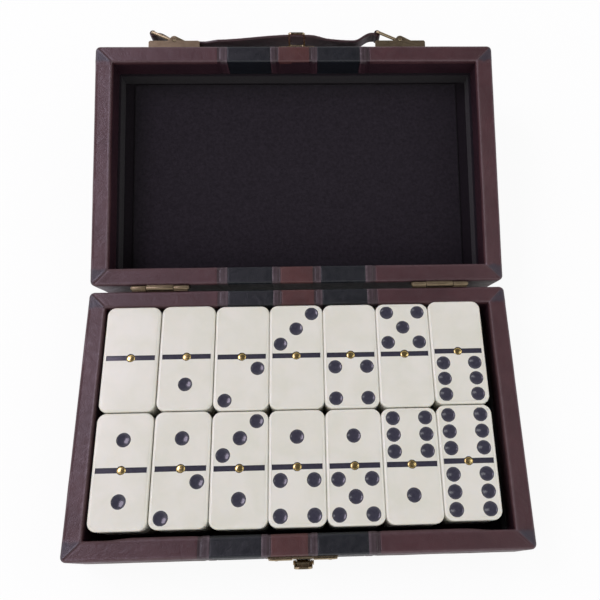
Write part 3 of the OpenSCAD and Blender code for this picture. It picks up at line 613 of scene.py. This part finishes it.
# A narrow strip in section, by shares of its width from the green strip
WELT_COLS, WELT_LOW, WELT_MIDDLE, WELT_GROOVE, WELT_END = 29, -0.07, 0.36, 0.7, 0.95


def welt_rise(t):
    """A narrow strip's height: a low rounded band beside the green strip, and a groove on its other side."""
    if t < WELT_GROOVE:
        return WELT_LOW + 0.15 * math.sqrt(max(0.0, 1 - (t / WELT_MIDDLE - 1) ** 4))
    if t < WELT_END:
        return WELT_LOW - 0.12 * math.sin(math.pi * (t - WELT_GROOVE) / (WELT_END - WELT_GROOVE))
    return WELT_LOW


def welt_highlight(t):
    """How light a narrow strip is painted: a painted highlight beside the green strip and a weaker one in its middle;
    its groove stays dark.
    """
    return 0.95 * hump(t - 0.1, 0.14) + 0.42 * hump(t - 0.5, 0.13)


def strip(name, node, lefts, width, lid, material, slot, green_side, seed):
    """One strip of the band, from its left edge on the front and the back wall. On the base it is in two parts, and
    on the lid it runs over the top. A narrow strip's green_side is -1 or 1, the side on which a green strip lies."""
    profile = LID_PROFILE[1:] if lid else BASE_PROFILE
    shares = np.linspace(0, 1, WELT_COLS)[::-green_side] if green_side else None
    grids = []
    for sy, left in zip((-1, 1), lefts):
        right = left + width
        cols = np.linspace(left, right, WELT_COLS) if green_side else strip_columns(left, right)

        def height(i, j, u, z, nu, nz):
            x = cols[j]
            rise = welt_rise(shares[j]) if green_side else tuck(min(x - left, right - x))
            return bulge(x, sy * 60, z, seed) * 0.7 - 0.04 + rise + roll(x, sy, z, nu, lid)

        grids.append(wall_sheet([(0, sy, "x", x) for x in cols], profile, height))
    worn_and_lit = [edge_wear_and_highlight(u, z, 0.48, 0.3) for u, z in profile]
    parts = [("_front", grids[0], worn_and_lit), ("_back", grids[1], worn_and_lit)]
    if lid:
        joined = [np.concatenate([front[::-1], back]) for front, back in zip(*grids)]
        turn_over(*joined)
        parts = [("", joined, worn_and_lit[::-1] + worn_and_lit)]
    for suffix, (outer, inner), rows in parts:
        verts, faces = thick_grid(outer, inner)
        # Painted highlight on the narrow strips, added to their edge wear
        light = [welt_highlight(t) for t in shares] if green_side else np.zeros(outer.shape[1])
        wear_and_highlight = np.clip(np.array(rows)[:, None] + light, 0, 1)
        piece(
            name + suffix, verts, faces, [material, BURGUNDY_PAINTED_SHADE], "lid" if lid else "base", slot, node,
            face_mats=None if material == GREEN else inner_fold(faces, outer, lid), sharp=50,
            values={"wear_and_highlight": on_outside(wear_and_highlight)},
        )


def inner_fold(faces, outer, lid):
    """Which faces of a strip are on the fold inside the case, where the strip takes the fold's darker cloth, which is
    painted shade.
    """
    points = outer.reshape(-1, 3)
    z, inset = points[:, 2], CASE_D / 2 - np.abs(points[:, 1])
    within = inset > RIM - 0.6
    if lid:
        within &= (z > HALF_H + INNER_EDGE_R) & (z < HALF_H + FOLD + 0.2) & (inset < RIM + 0.6)
    else:
        within &= z < HALF_H - INNER_EDGE_R
    return [int(all(within[v % len(points)] for v in face)) for face in faces]


def make_stripes():
    cloths = {
        "welts": (MAUVE, "mauve_cloth"), "green_stripes": (GREEN, "green_cloth"),
        "centre_stripe": (RED_BROWN, "red_brown_cloth"),
    }
    strips = [
        ("welt_outer_left", "welts", -EDGE_X, -OUTER_X, 1),
        ("green_left", "green_stripes", -OUTER_X, -GREEN_X, 0),
        ("welt_inner_left", "welts", -GREEN_X, -CENTRE_X, -1),
        ("centre", "centre_stripe", -CENTRE_X, CENTRE_X, 0),
        ("welt_inner_right", "welts", CENTRE_X, GREEN_X, 1),
        ("green_right", "green_stripes", GREEN_X, OUTER_X, 0),
        ("welt_outer_right", "welts", OUTER_X, EDGE_X, -1),
    ]
    for half, _, front, back in HALVES:
        lid = half == "lid"
        for n, (name, node, left, right, green_side) in enumerate(strips):
            strip(
                f"{half}_{name}", f"{half}_{node}", (front + left, back + left), right - left, lid, *cloths[node],
                green_side, 11.3 * n + 5 * lid,
            )


def wall_lining(name, node, profile, seed, unevenness):
    """A lining all round the inner walls of a half, from its section."""
    half = node.split("_")[0]
    stations = loop_stations()
    profile = np.array(profile)
    outer = np.zeros((len(profile), len(stations), 3))
    inner = np.zeros_like(outer)
    for i, ((u, z), (nu, nz)) in enumerate(zip(profile, profile_normals(profile))):
        for j, station in enumerate(stations):
            x, y, _ = place(station, u, z)
            h = unevenness * noise.noise((x * 0.12 + seed, y * 0.12, z * 0.2))
            outer[i, j] = place(station, u + nu * h, z + nz * h)
            inner[i, j] = place(station, WALL, z)
    if half == "lid":
        turn_over(outer, inner)
    piece(name, *thick_grid(outer, inner, loop=True), [LINING], half, "lining_felt", node)


def flat(name, node, w, d, low, high, material, slot, wave, edge_r=0.0, crown=0.0, step=2.2):
    """A sheet or a low pad with a rounded rim, lying on the floor of a half."""
    half = node.split("_")[0]
    rims = (0.0, 0.12, 0.3, 0.55, 0.8, 1.0) if edge_r else (1.0,)
    xs, ys = (
        sorted(
            {s * (size / 2 - edge_r * r) for r in rims for s in (-1, 1)}
            | set((size / 2 - edge_r - 1) * np.linspace(-1, 1, int(size / step)))
        )
        for size in (w, d)
    )
    outer = np.zeros((len(xs), len(ys), 3))
    inner = np.zeros_like(outer)
    for i, x in enumerate(xs):
        for j, y in enumerate(ys):
            fall = 1.0
            if edge_r:
                gone = 1 - min(min(w / 2 - abs(x), d / 2 - abs(y)) / edge_r, 1)
                fall = math.sqrt(max(0.0, 1 - gone * gone))
            rise = crown * (1 - (2 * x / w) ** 4) * (1 - (2 * y / d) ** 4)
            h = wave * noise.noise((x * 0.09, y * 0.09, high)) + 0.4 * wave * noise.noise((x * 0.5, y * 0.5, high))
            outer[i, j] = (x, y, low + (high - low + rise + h) * fall)
            inner[i, j] = (x, y, low)
    if half == "lid":
        turn_over(outer, inner)
    return piece(name, *thick_grid(outer, inner), [material], half, slot, node, sharp=60)


def make_linings():
    """Felt on the inner walls and the floors, the boards that line the lid's walls, and the lid's raised pad."""
    top, face_u = HALF_H - FOLD, WALL + LINING_T
    heights = list(np.linspace(top - 0.6, FLOOR_Z, 7))
    section = [(RIM - 0.2, top)] + [(RIM, z) for z in [top - 0.2] + heights]
    wall_lining("base_wall_felt", "base_wall_lining", section, 2.0, 0.06)
    section = [(WALL + 0.1, top), (face_u - 0.9, top)] + arc(face_u - 0.5, top - 0.5, 0.5, 90, 0, 4)
    section += [(face_u, z) for z in heights[1:]]
    wall_lining("lid_wall_boards", "lid_wall_lining", section, 6.0, 0.1)
    w, d = CASE_W - 2 * WALL, CASE_D - 2 * WALL
    for half, board in (("base", "base_bottom"), ("lid", "lid_top")):
        obj = flat(
            f"{half}_floor_felt", f"{half}_floor_lining", w, d, FLOOR_Z - FELT_T, FLOOR_Z, LINING, "lining_felt", 0.08
        )
    pad = flat(
        "lid_felt_pad", "lid_pad", w - 2 * LINING_T - 10, d - 2 * LINING_T - 2, FLOOR_Z, FLOOR_Z + 1.0, PAD,
        "pad_felt", 0.16, edge_r=1.0, crown=0.25, step=1.6,
    )
    flat(
        "base_underside_cloth", "base_underside", CASE_W - 1, CASE_D - 1, 0.5, 0.02, UNDERSIDE, "leather_cloth", 0.02,
        step=6,
    )


# ---- tiles


def rounded_plan(w, d, r, steps=7):
    points = []
    for cx, cy, start in ((1, -1, -90), (1, 1, 0), (-1, 1, 90), (-1, -1, 180)):
        for a in np.radians(np.linspace(start, start + 90, steps)):
            points.append((cx * (w / 2 - r) + r * math.cos(a), cy * (d / 2 - r) + r * math.sin(a)))
    return points


PIP_R, PIP_DEPTH, PIP_X, PIP_MID, PIP_STEP = 3.25, 0.81, 7.4, 13.25, 7.5
PIP_ROUND = circle(32)
DIAGONAL = [(1, 1), (-1, -1)]
PIP_PLACES = {
    0: [], 1: [(0, 0)], 2: DIAGONAL, 3: DIAGONAL + [(0, 0)], 4: DIAGONAL + [(-1, 1), (1, -1)],
    5: DIAGONAL + [(-1, 1), (1, -1), (0, 0)], 6: DIAGONAL + [(-1, 1), (1, -1), (-1, 0), (1, 0)],
}
BAR_L, BAR_W, BAR_DEPTH, SPINNER_R = 22.7, 2.4, 0.5, 1.95
TILE_CORNER_R, TILE_EDGE_R = 4.0, 1.15
# A pip's dish: rings by their share of its radius, and their depths
DISH = [(0.975, 0.1), (0.93, 0.27), (0.82, 0.42), (0.66, 0.55), (0.48, 0.665), (0.3, 0.74), (0.14, 0.785)]


def bar_outline():
    """The groove with the round seat of the centre pin in its middle."""
    r, half = SPINNER_R + 0.05, BAR_W / 2
    turn = math.asin(half / r)
    bottom = [(r * math.cos(a), r * math.sin(a)) for a in np.linspace(-math.pi + turn, -turn, 10)]
    top = [(-x, -y) for x, y in bottom]
    length = BAR_L / 2
    return [(-length, -half)] + bottom + [(length, -half), (length, half)] + top + [(-length, half)]


def tile_mesh(far, near):
    """A tile with its dished pips and the groove of its bar: its points, faces and the faces' materials."""
    quarter = np.radians(np.linspace(0, 90, 6))
    edge = [(TILE_EDGE_R * (1 - math.sin(a)), TILE_EDGE_R * (1 - math.cos(a))) for a in quarter]
    rings = edge + [(u, TILE_T - z) for u, z in reversed(edge)] + [(TILE_EDGE_R + 0.35, TILE_T)]
    verts = []
    for u, z in rings:
        verts += [(x, y, z) for x, y in rounded_plan(TILE_W - 2 * u, TILE_L - 2 * u, TILE_CORNER_R - u)]
    n = len(verts) // len(rings)
    faces = [tuple(reversed(range(n)))]
    for i in range(0, len(verts) - n, n):
        faces += rungs(range(i, i + n), range(i + n, i + 2 * n))
    top = len(verts) - n
    centres = [
        (px * PIP_X, side * PIP_MID + py * PIP_STEP)
        for side, count in ((1, far), (-1, near)) for px, py in PIP_PLACES[count]
    ]
    bar = bar_outline()
    holes = [[(cx + PIP_R * c, cy + PIP_R * s) for c, s in PIP_ROUND] for cx, cy in centres]
    flat_points, edges, starts = [], [], []
    for loop in [[v[:2] for v in verts[top:]]] + holes + [bar]:
        start = len(flat_points)
        starts.append(start)
        flat_points += [Vector(p) for p in loop]
        edges += [(start + i, start + (i + 1) % len(loop)) for i in range(len(loop))]
    inside = [Vector((x, y)) for x in (-11, -4, 4, 11) for y in np.arange(-23, 23.1, 3.83)]
    inside = [
        p for p in inside
        if min([(p - Vector(c)).length for c in centres] + [9]) > PIP_R + 0.6 and abs(p.y) > BAR_W
    ]
    out, _, tris, source, _, _ = delaunay_2d_cdt(flat_points + inside, edges, [], 0, 1e-5)
    index = {}
    for k, point in enumerate(out):
        same = [i for i in source[k] if i < n]
        if same:
            index[k] = top + same[0]
        else:
            index[k] = len(verts)
            verts.append((point.x, point.y, TILE_T))
    of_input = {i: index[k] for k, ids in enumerate(source) for i in ids}

    def in_hole(p):
        if any((p - Vector(c)).length < PIP_R * 0.995 for c in centres):
            return True
        return (abs(p.y) < BAR_W / 2 and abs(p.x) < BAR_L / 2) or p.length < SPINNER_R + 0.04

    middles = [sum((out[k] for k in tri), Vector((0, 0))) / 3 for tri in tris]
    faces += [tuple(index[k] for k in tri) for tri, p in zip(tris, middles) if not in_hole(p)]
    ivory = len(faces)
    for start, (cx, cy) in zip(starts[1:], centres):
        ring = [of_input[start + i] for i in range(len(PIP_ROUND))]
        for share, depth in DISH:
            fresh = range(len(verts), len(verts) + len(ring))
            verts += [(cx + PIP_R * share * c, cy + PIP_R * share * s, TILE_T - depth) for c, s in PIP_ROUND]
            faces += rungs(ring, fresh)
            ring = fresh
        faces += [(a, b, len(verts)) for a, b in zip(ring, [*ring[1:], ring[0]])]
        verts.append((cx, cy, TILE_T - PIP_DEPTH))
    ring = [of_input[starts[-1] + i] for i in range(len(bar))]
    for depth, shrink in ((0.12, 0.03), (BAR_DEPTH, 0.12)):
        fresh = range(len(verts), len(verts) + len(bar))
        verts += [
            (x - math.copysign(shrink, x), y * (1 - shrink / math.hypot(x, y)), TILE_T - depth) for x, y in bar
        ]
        faces += rungs(ring, fresh)
        ring = fresh
    faces.append(tuple(ring))
    return np.array(verts), faces, [0] * ivory + [1] * (len(faces) - ivory)


def turned(profile, steps=24):
    """A round solid about Z from (radius, height) points. The first and last are on the axis."""
    verts, faces = [(0, 0, profile[0][1])], []
    for r, z in profile[1:-1]:
        verts += [(r * c, r * s, z) for c, s in circle(steps)]
    verts.append((0, 0, profile[-1][1]))
    rows = len(profile) - 2
    for j in range(steps):
        k = (j + 1) % steps
        faces.append((0, 1 + k, 1 + j))
        for i in range(rows - 1):
            a, b = 1 + i * steps, 1 + (i + 1) * steps
            faces.append((a + j, a + k, b + k, b + j))
        faces.append((1 + (rows - 1) * steps + j, 1 + (rows - 1) * steps + k, len(verts) - 1))
    return np.array(verts, float), faces


def make_tiles():
    pin = [(0, -2.6), (1.9, -2.6), (SPINNER_R, -2.5), (SPINNER_R, 0.02), (1.88, 0.1)]
    pin += [(1.75 * math.cos(a), 0.12 + 0.33 * math.sin(a)) for a in np.radians(np.linspace(5, 84, 7))] + [(0, 0.45)]
    pin_verts, pin_faces = turned(pin)
    for far, near in TILES:
        name = f"tile_{min(far, near)}_{max(far, near)}"
        low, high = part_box(name)
        at = np.array([(low.x + high.x) / 2, (low.y + high.y) / 2, low.z]) / MM
        verts, faces, mats = tile_mesh(far, near)
        obj = piece(
            f"{name}_body", verts + at, faces, [IVORY, ENAMEL_PAINTED_REFLECTION], name, "tile_ivory", name, face_mats=mats, sharp=32
        )
        obj.modifiers.new("normals", "WEIGHTED_NORMAL").keep_sharp = True
        pin_at = at + [0, 0, TILE_T - BAR_DEPTH]
        piece(f"{name}_pin", pin_verts + pin_at, pin_faces, [BRIGHT_BRASS], name, "brass", name, sharp=50)


# ---- handle

HANDLE_Z, LEFT_KNUCKLE, SPAN = 37.5, -62.25, 116.5
KNUCKLE_OUT, RING_L, RING_W, RING_REACH, WIRE_R, RING_LEAN = 4.4, 12.6, 10.0, 6.8, 0.8, math.radians(24)
BAR_OUT = KNUCKLE_OUT + RING_L * math.sin(RING_LEAN)
STRAP_LEFT = LEFT_KNUCKLE - RING_L * math.cos(RING_LEAN)
STRAP_T, STRAP_W, STRAP_END_W, STRAP_END_L, EYE_R = 2.0, 12.0, 8.0, 26.0, 1.7
# The strap's sewn margins: their width and thickness, and their stitches
MARGIN_W, MARGIN_T = 1.7, 1.24
STITCH_FROM, STITCH_STEP, STITCH_L = 10.5, 2.6, 1.7
STRAP_KNOTS = [
    (0, BAR_OUT), (3, BAR_OUT), (12.5, 5.4), (30, 4.8), (75, 7.6), (104, 5.4), (113.5, BAR_OUT), (SPAN, BAR_OUT),
]


def strap_out(s):
    for (s0, a), (s1, b) in zip(STRAP_KNOTS, STRAP_KNOTS[1:]):
        if s <= s1:
            return a + (b - a) * (1 - math.cos(math.pi * (s - s0) / (s1 - s0))) / 2
    return STRAP_KNOTS[-1][1]


def pipe(points, radius, steps=12):
    """A round wire along an open line of points, a little narrower at its ends."""
    points = [Vector(p) for p in points]
    rings, side = [], None
    for i, p in enumerate(points):
        ahead = (points[min(i + 1, len(points) - 1)] - points[max(i - 1, 0)]).normalized()
        side = (side - ahead * side.dot(ahead)).normalized() if side else ahead.orthogonal().normalized()
        rings.append((p, side.copy(), ahead.cross(side), radius))
    for at, end, inner in ((0, points[0], points[1]), (len(rings), points[-1], points[-2])):
        out = (end - inner).normalized() * radius * 0.3
        _, across, up, _ = rings[0] if at == 0 else rings[-1]
        rings.insert(at, (end + out, across, up, radius * 0.7))
    verts = [p + across * r * c + up * r * s for p, across, up, r in rings for c, s in circle(steps)]
    return np.array([tuple(v) for v in verts]), tube_faces(len(rings), steps)


def rounded_line(corners, r, steps=7):
    """An open line through the corners, rounded at each bend."""
    found = [Vector(corners[0])]
    for before, corner, after in zip(corners, corners[1:], corners[2:]):
        p = Vector(corner)
        a, b = (Vector(before) - p).normalized() * r, (Vector(after) - p).normalized() * r
        found += [(p + a) * (1 - t) ** 2 + p * (2 * t * (1 - t)) + (p + b) * t ** 2 for t in np.linspace(0, 1, steps)]
    return found + [Vector(corners[-1])]


def make_handle():
    """The rings: a wire U through each strap eye, its ends turned out into the holes of the bracket."""
    upper = [(0, 0, RING_REACH), (0, 0, RING_W / 2), (-RING_L, 0, RING_W / 2)]
    corners = [(x, y, -z) for x, y, z in upper] + upper[::-1]
    c, s = math.cos(RING_LEAN), math.sin(RING_LEAN)
    for side, knuckle_x in (("left", LEFT_KNUCKLE), ("right", LEFT_KNUCKLE + SPAN)):
        verts, faces = pipe(rounded_line(corners, 0.9), WIRE_R)
        x, y = verts[:, 0] * c - verts[:, 1] * s, verts[:, 0] * s + verts[:, 1] * c
        verts = np.stack([x + knuckle_x, y + CASE_FRONT - KNUCKLE_OUT, verts[:, 2] + HANDLE_Z], axis=1)
        piece(f"wire_ring_{side}", verts, faces, [BRASS], f"ring_{side}", "brass", f"ring_{side}")


def strap_section(half_w, thick):
    """The strap across: thin sewn margins and a padded middle, as (across, out) points."""
    low = -thick / 2
    seam, pad_low, pad_w = low + MARGIN_T, low + MARGIN_T + 0.1, half_w - MARGIN_W - 0.3
    half = [
        (0, low - 0.02), (half_w - 0.25, low), (half_w, low + 0.3), (half_w, low + 0.75 * MARGIN_T),
        (half_w - 0.3, seam), (half_w - 0.75 * MARGIN_W, seam), (half_w - MARGIN_W, pad_low),
    ]
    half += [
        (t * pad_w, pad_low + (thick - MARGIN_T + 0.1) * math.sqrt(1 - (t * 0.97) ** 4))
        for t in (0.94, 0.8, 0.55, 0.25, 0.0)
    ]
    return half + [(-x, y) for x, y in reversed(half[1:-1])]


def strap_half_width(s):
    """Half the strap's width at a distance along it. It is narrow where it passes between the bracket's cheeks."""
    return (STRAP_END_W + (STRAP_W - STRAP_END_W) * ease((min(s, SPAN - s) - STRAP_END_L) / 8.0)) / 2


def on_strap(s, across, out, along=0.0):
    """A point by its distance along the strap, across it and out of it."""
    lean = math.atan(strap_out(min(s + 0.5, SPAN)) - strap_out(max(s - 0.5, 0)))
    cos, sin = math.cos(lean), math.sin(lean)
    return (
        STRAP_LEFT + s + along * cos - out * sin, CASE_FRONT - strap_out(s) - along * sin - out * cos,
        HANDLE_Z + across,
    )


def make_strap():
    """The padded strap in one piece, its eyes, and the stitches along its edges."""
    rows = []
    for s in np.linspace(0, SPAN, 96):
        thick = STRAP_T - 0.2 * (1 - min(1.0, min(s, SPAN - s) / 12))
        row = []
        for across, out in strap_section(strap_half_width(s), thick):
            x, y, z = on_strap(s, across, out)
            row.append((x, y - 0.06 * noise.noise((s * 0.3, across * 0.4, 4.0)), z))
        rows.append(row)
    verts, faces = np.concatenate(rows), tube_faces(len(rows), len(row))
    strap = piece("carry_strap", verts, faces, [STRAP], "strap", "strap_leather", "handle_strap")
    for side, x, bore in (("left", 0.0, 0.85), ("right", SPAN, 1.05)):
        middle = np.array([STRAP_LEFT + x, CASE_FRONT - BAR_OUT])
        eye = []
        for across in np.linspace(-STRAP_END_W / 2, STRAP_END_W / 2, 8):
            r = EYE_R - (0.12 if abs(across) > STRAP_END_W / 2 - 0.2 else 0.0)
            eye.append([(middle[0] + r * c, middle[1] + r * s, HANDLE_Z + across) for c, s in circle(24)])
        outer = np.array(eye)
        inner = outer.copy()
        inner[..., :2] = middle + (outer[..., :2] - middle) * bore / EYE_R
        verts, faces = thick_grid(outer, inner, loop=True)
        piece(f"strap_eye_{side}", verts, faces, [STRAP], "strap", "strap_leather", "handle_strap")
    verts, faces = [], []
    for s in np.arange(STITCH_FROM, SPAN - STITCH_FROM + 0.1, STITCH_STEP):
        for side in (-1, 1):
            middle = side * (strap_half_width(s) - MARGIN_W / 2)
            faces += tube_faces(6, 6, len(verts))
            for t in np.linspace(0, 1, 6):
                out = -STRAP_T / 2 + MARGIN_T + 0.2 * math.sin(math.pi * t) - 0.05
                verts += [
                    on_strap(s, middle + 0.2 * c, out + 0.17 * v, (t - 0.5) * STITCH_L) for c, v in circle(6)
                ]
    piece("strap_stitches", verts, faces, [THREAD], "strap", "strap_leather", "handle_strap")


LATCH_X, PIN_Z, PIN_OUT = 0.7, 12.0, 2.2
CURL_R, CURL_BORE, CURL_HALF = 1.36, 0.68, 2.45
PLATE_TOP, PLATE_OUT, PLATE_ROLL_R = 26.1, 1.0, 0.55
PLATE_ROLL = (4.7, 14.5)  # from the latch's middle


def make_latch_details():
    """The lever's foot, rolled round its pin, and the rolled upper edge of the latch plate on both sides of it."""
    grids = [
        np.array([
            [(LATCH_X + w, CASE_FRONT - PIN_OUT - r * math.cos(a), PIN_Z + r * math.sin(a))
             for w in np.linspace(-CURL_HALF, CURL_HALF, 3)]
            for a in np.radians(np.linspace(-60, 252, 34))
        ])
        for r in (CURL_R, CURL_BORE)
    ]
    piece("lever_curl", *thick_grid(*grids), [BRASS], "lever", "brass")
    for side, sx in SIDES:
        ways = np.linspace(*PLATE_ROLL, 9)
        verts, faces = pipe([(LATCH_X + sx * w, CASE_FRONT - PLATE_OUT, PLATE_TOP) for w in ways], PLATE_ROLL_R, 16)
        piece(f"latch_plate_roll_{side}", verts, faces, [BRASS], "base", "brass")


# ---- CAD nodes that stay

def dress_nodes():
    """Brass and wood nodes keep their shapes. Brass edges are eased."""
    for node in ("base_boards", "base_bottom", "lid_boards", "lid_top"):
        dress(node, WOOD)
    for node in (
        "hinge_base_leaves", "hinge_lid_leaves", "hinge_pins", "base_rivets", "lid_rivets", "latch_plate",
        "latch_lever", "latch_pin", "hasp_loop", "bracket_left", "bracket_right",
    ):
        # Hinges and brackets take the darker brass, which is painted shade
        obj = dress(node, DULL_BRASS_PAINTED_SHADE if node.startswith(("hinge", "bracket")) else BRASS)
        weld = obj.modifiers.new("weld", "WELD")
        weld.merge_threshold = 0.002 * MM
        bevel = obj.modifiers.new("bevel", "BEVEL")
        bevel.width = 0.12 * MM
        bevel.segments = 2
        bevel.limit_method = "ANGLE"
        bevel.angle_limit = math.radians(40)


def dress(node, material):
    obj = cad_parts[node]
    obj.data.materials.clear()
    obj.data.materials.append(material)
    return obj


# ---- stage, light and camera

# The floor: half its size and its height in metres, its shade, and its glow in all rays that show the background and
# in the camera's
FLOOR_HALF, FLOOR_AT, FLOOR_SHADE, GLOW_SEEN, GLOW_CAMERA = 4, -0.0001, 0.86, 0.03, 0.89
# The room's light: its level, its ceiling's share of it, and where the ceiling begins and ends
ROOM_LEVEL, CEILING = 1.2, 0.09
CEILING_FROM, CEILING_TO = 0.6, 0.93

# The lamps: place in metres, size, power and colour
LAMPS = {
    "key": ((-0.62, 0.25, 1.0), (0.5, 0.36), 3.9, (1.0, 0.87, 1.11)),
    "fill": ((0.6, 0.1, 0.8), (0.16, 0.4), 0.7, (0.98, 0.99, 1.0)),
}
LAMP_AIM = Vector((0, 0.05, 0))

# The camera of the photograph, from a fit to the tiles and the case. Its focal length and the picture's middle are
# in pixels, and its place is in millimetres
PICTURE, SENSOR = 600, 36
FOCAL, MIDDLE_X, MIDDLE_Y = 687.81, 335.13, 300.85
EYE = Vector((5.18, -70.07, 339.54))
RIGHT, UP = Vector((0.99919, -0.02823, 0.02866)), Vector((0.0155, 0.92763, 0.37319))
FORWARD = Vector((0.03712, 0.37244, -0.92731))


def make_stage():
    mesh = bpy.data.meshes.new("floor")
    corners = ((-1, -1), (1, -1), (1, 1), (-1, 1))
    mesh.from_pydata([(FLOOR_HALF * x, FLOOR_HALF * y, FLOOR_AT) for x, y in corners], [], [(0, 1, 2, 3)])
    floor = bpy.data.objects.new("floor", mesh)
    bpy.context.scene.collection.objects.link(floor)
    material = bpy.data.materials.new("floor_white")
    material.use_nodes = True
    mesh.materials.append(material)
    nodes = Nodes(material.node_tree)
    nodes.tree.nodes.clear()
    camera, seen = nodes.seen_rays()
    share = nodes.calc("ADD", nodes.calc("MULTIPLY", seen, GLOW_SEEN), nodes.calc("MULTIPLY", camera, GLOW_CAMERA))
    diffuse = nodes.add("ShaderNodeBsdfDiffuse", {"Color": (*[FLOOR_SHADE] * 3, 1)})
    glow = nodes.add("ShaderNodeEmission", {"Strength": 1.0})
    surface = nodes.add("ShaderNodeMixShader", {0: share, 1: diffuse, 2: glow})
    nodes.feed(nodes.tree.nodes.new("ShaderNodeOutputMaterial"), {"Surface": surface})

    world = bpy.data.worlds.new("studio")
    bpy.context.scene.world = world
    world.use_nodes = True
    nodes = Nodes(world.node_tree)
    camera, seen = nodes.seen_rays()
    way = nodes.add("ShaderNodeTexCoord", {}, "Generated")
    up = Vector((0.12, 0.12, 1)).normalized()
    height = nodes.add("ShaderNodeVectorMath", {0: way, 1: up}, "Value", operation="DOT_PRODUCT")
    room = nodes.ramp(height, CEILING_FROM, CEILING_TO, 1.0, CEILING, "SMOOTHSTEP")
    room = nodes.ramp(camera, 0.0, 1.0, room, 1.0)
    strength = nodes.calc("MULTIPLY", room, nodes.ramp(seen, 0.0, 1.0, ROOM_LEVEL, 1.0))
    nodes.feed(nodes.tree.nodes["Background"], {"Color": (1, 1, 1, 1), "Strength": strength})


def make_lights():
    for name, (place_m, size, power, colour) in LAMPS.items():
        data = bpy.data.lights.new(name, "AREA")
        data.shape = "RECTANGLE"
        data.size, data.size_y = size
        data.energy = power
        data.color = colour
        obj = bpy.data.objects.new(name, data)
        obj.location = place_m
        obj.rotation_mode = "QUATERNION"
        obj.rotation_quaternion = (LAMP_AIM - Vector(place_m)).to_track_quat("-Z", "Y")
        bpy.context.scene.collection.objects.link(obj)


def make_camera():
    data = bpy.data.cameras.new("camera")
    data.sensor_width = SENSOR
    data.lens = FOCAL * SENSOR / PICTURE
    data.shift_x = (PICTURE / 2 - MIDDLE_X) / PICTURE
    data.shift_y = (MIDDLE_Y - PICTURE / 2) / PICTURE
    data.clip_start, data.clip_end = 0.01, 20
    camera = bpy.data.objects.new("camera", data)
    turn = Matrix((RIGHT, UP, -FORWARD)).transposed().to_4x4()
    camera.matrix_world = Matrix.Translation(EYE * MM) @ turn
    bpy.context.scene.collection.objects.link(camera)
    bpy.context.scene.camera = camera
    bpy.context.scene.view_settings.view_transform = "Standard"


make_covers()
make_stripes()
make_linings()
make_tiles()
make_handle()
make_strap()
make_latch_details()
dress_nodes()
make_stage()
make_lights()
make_camera()
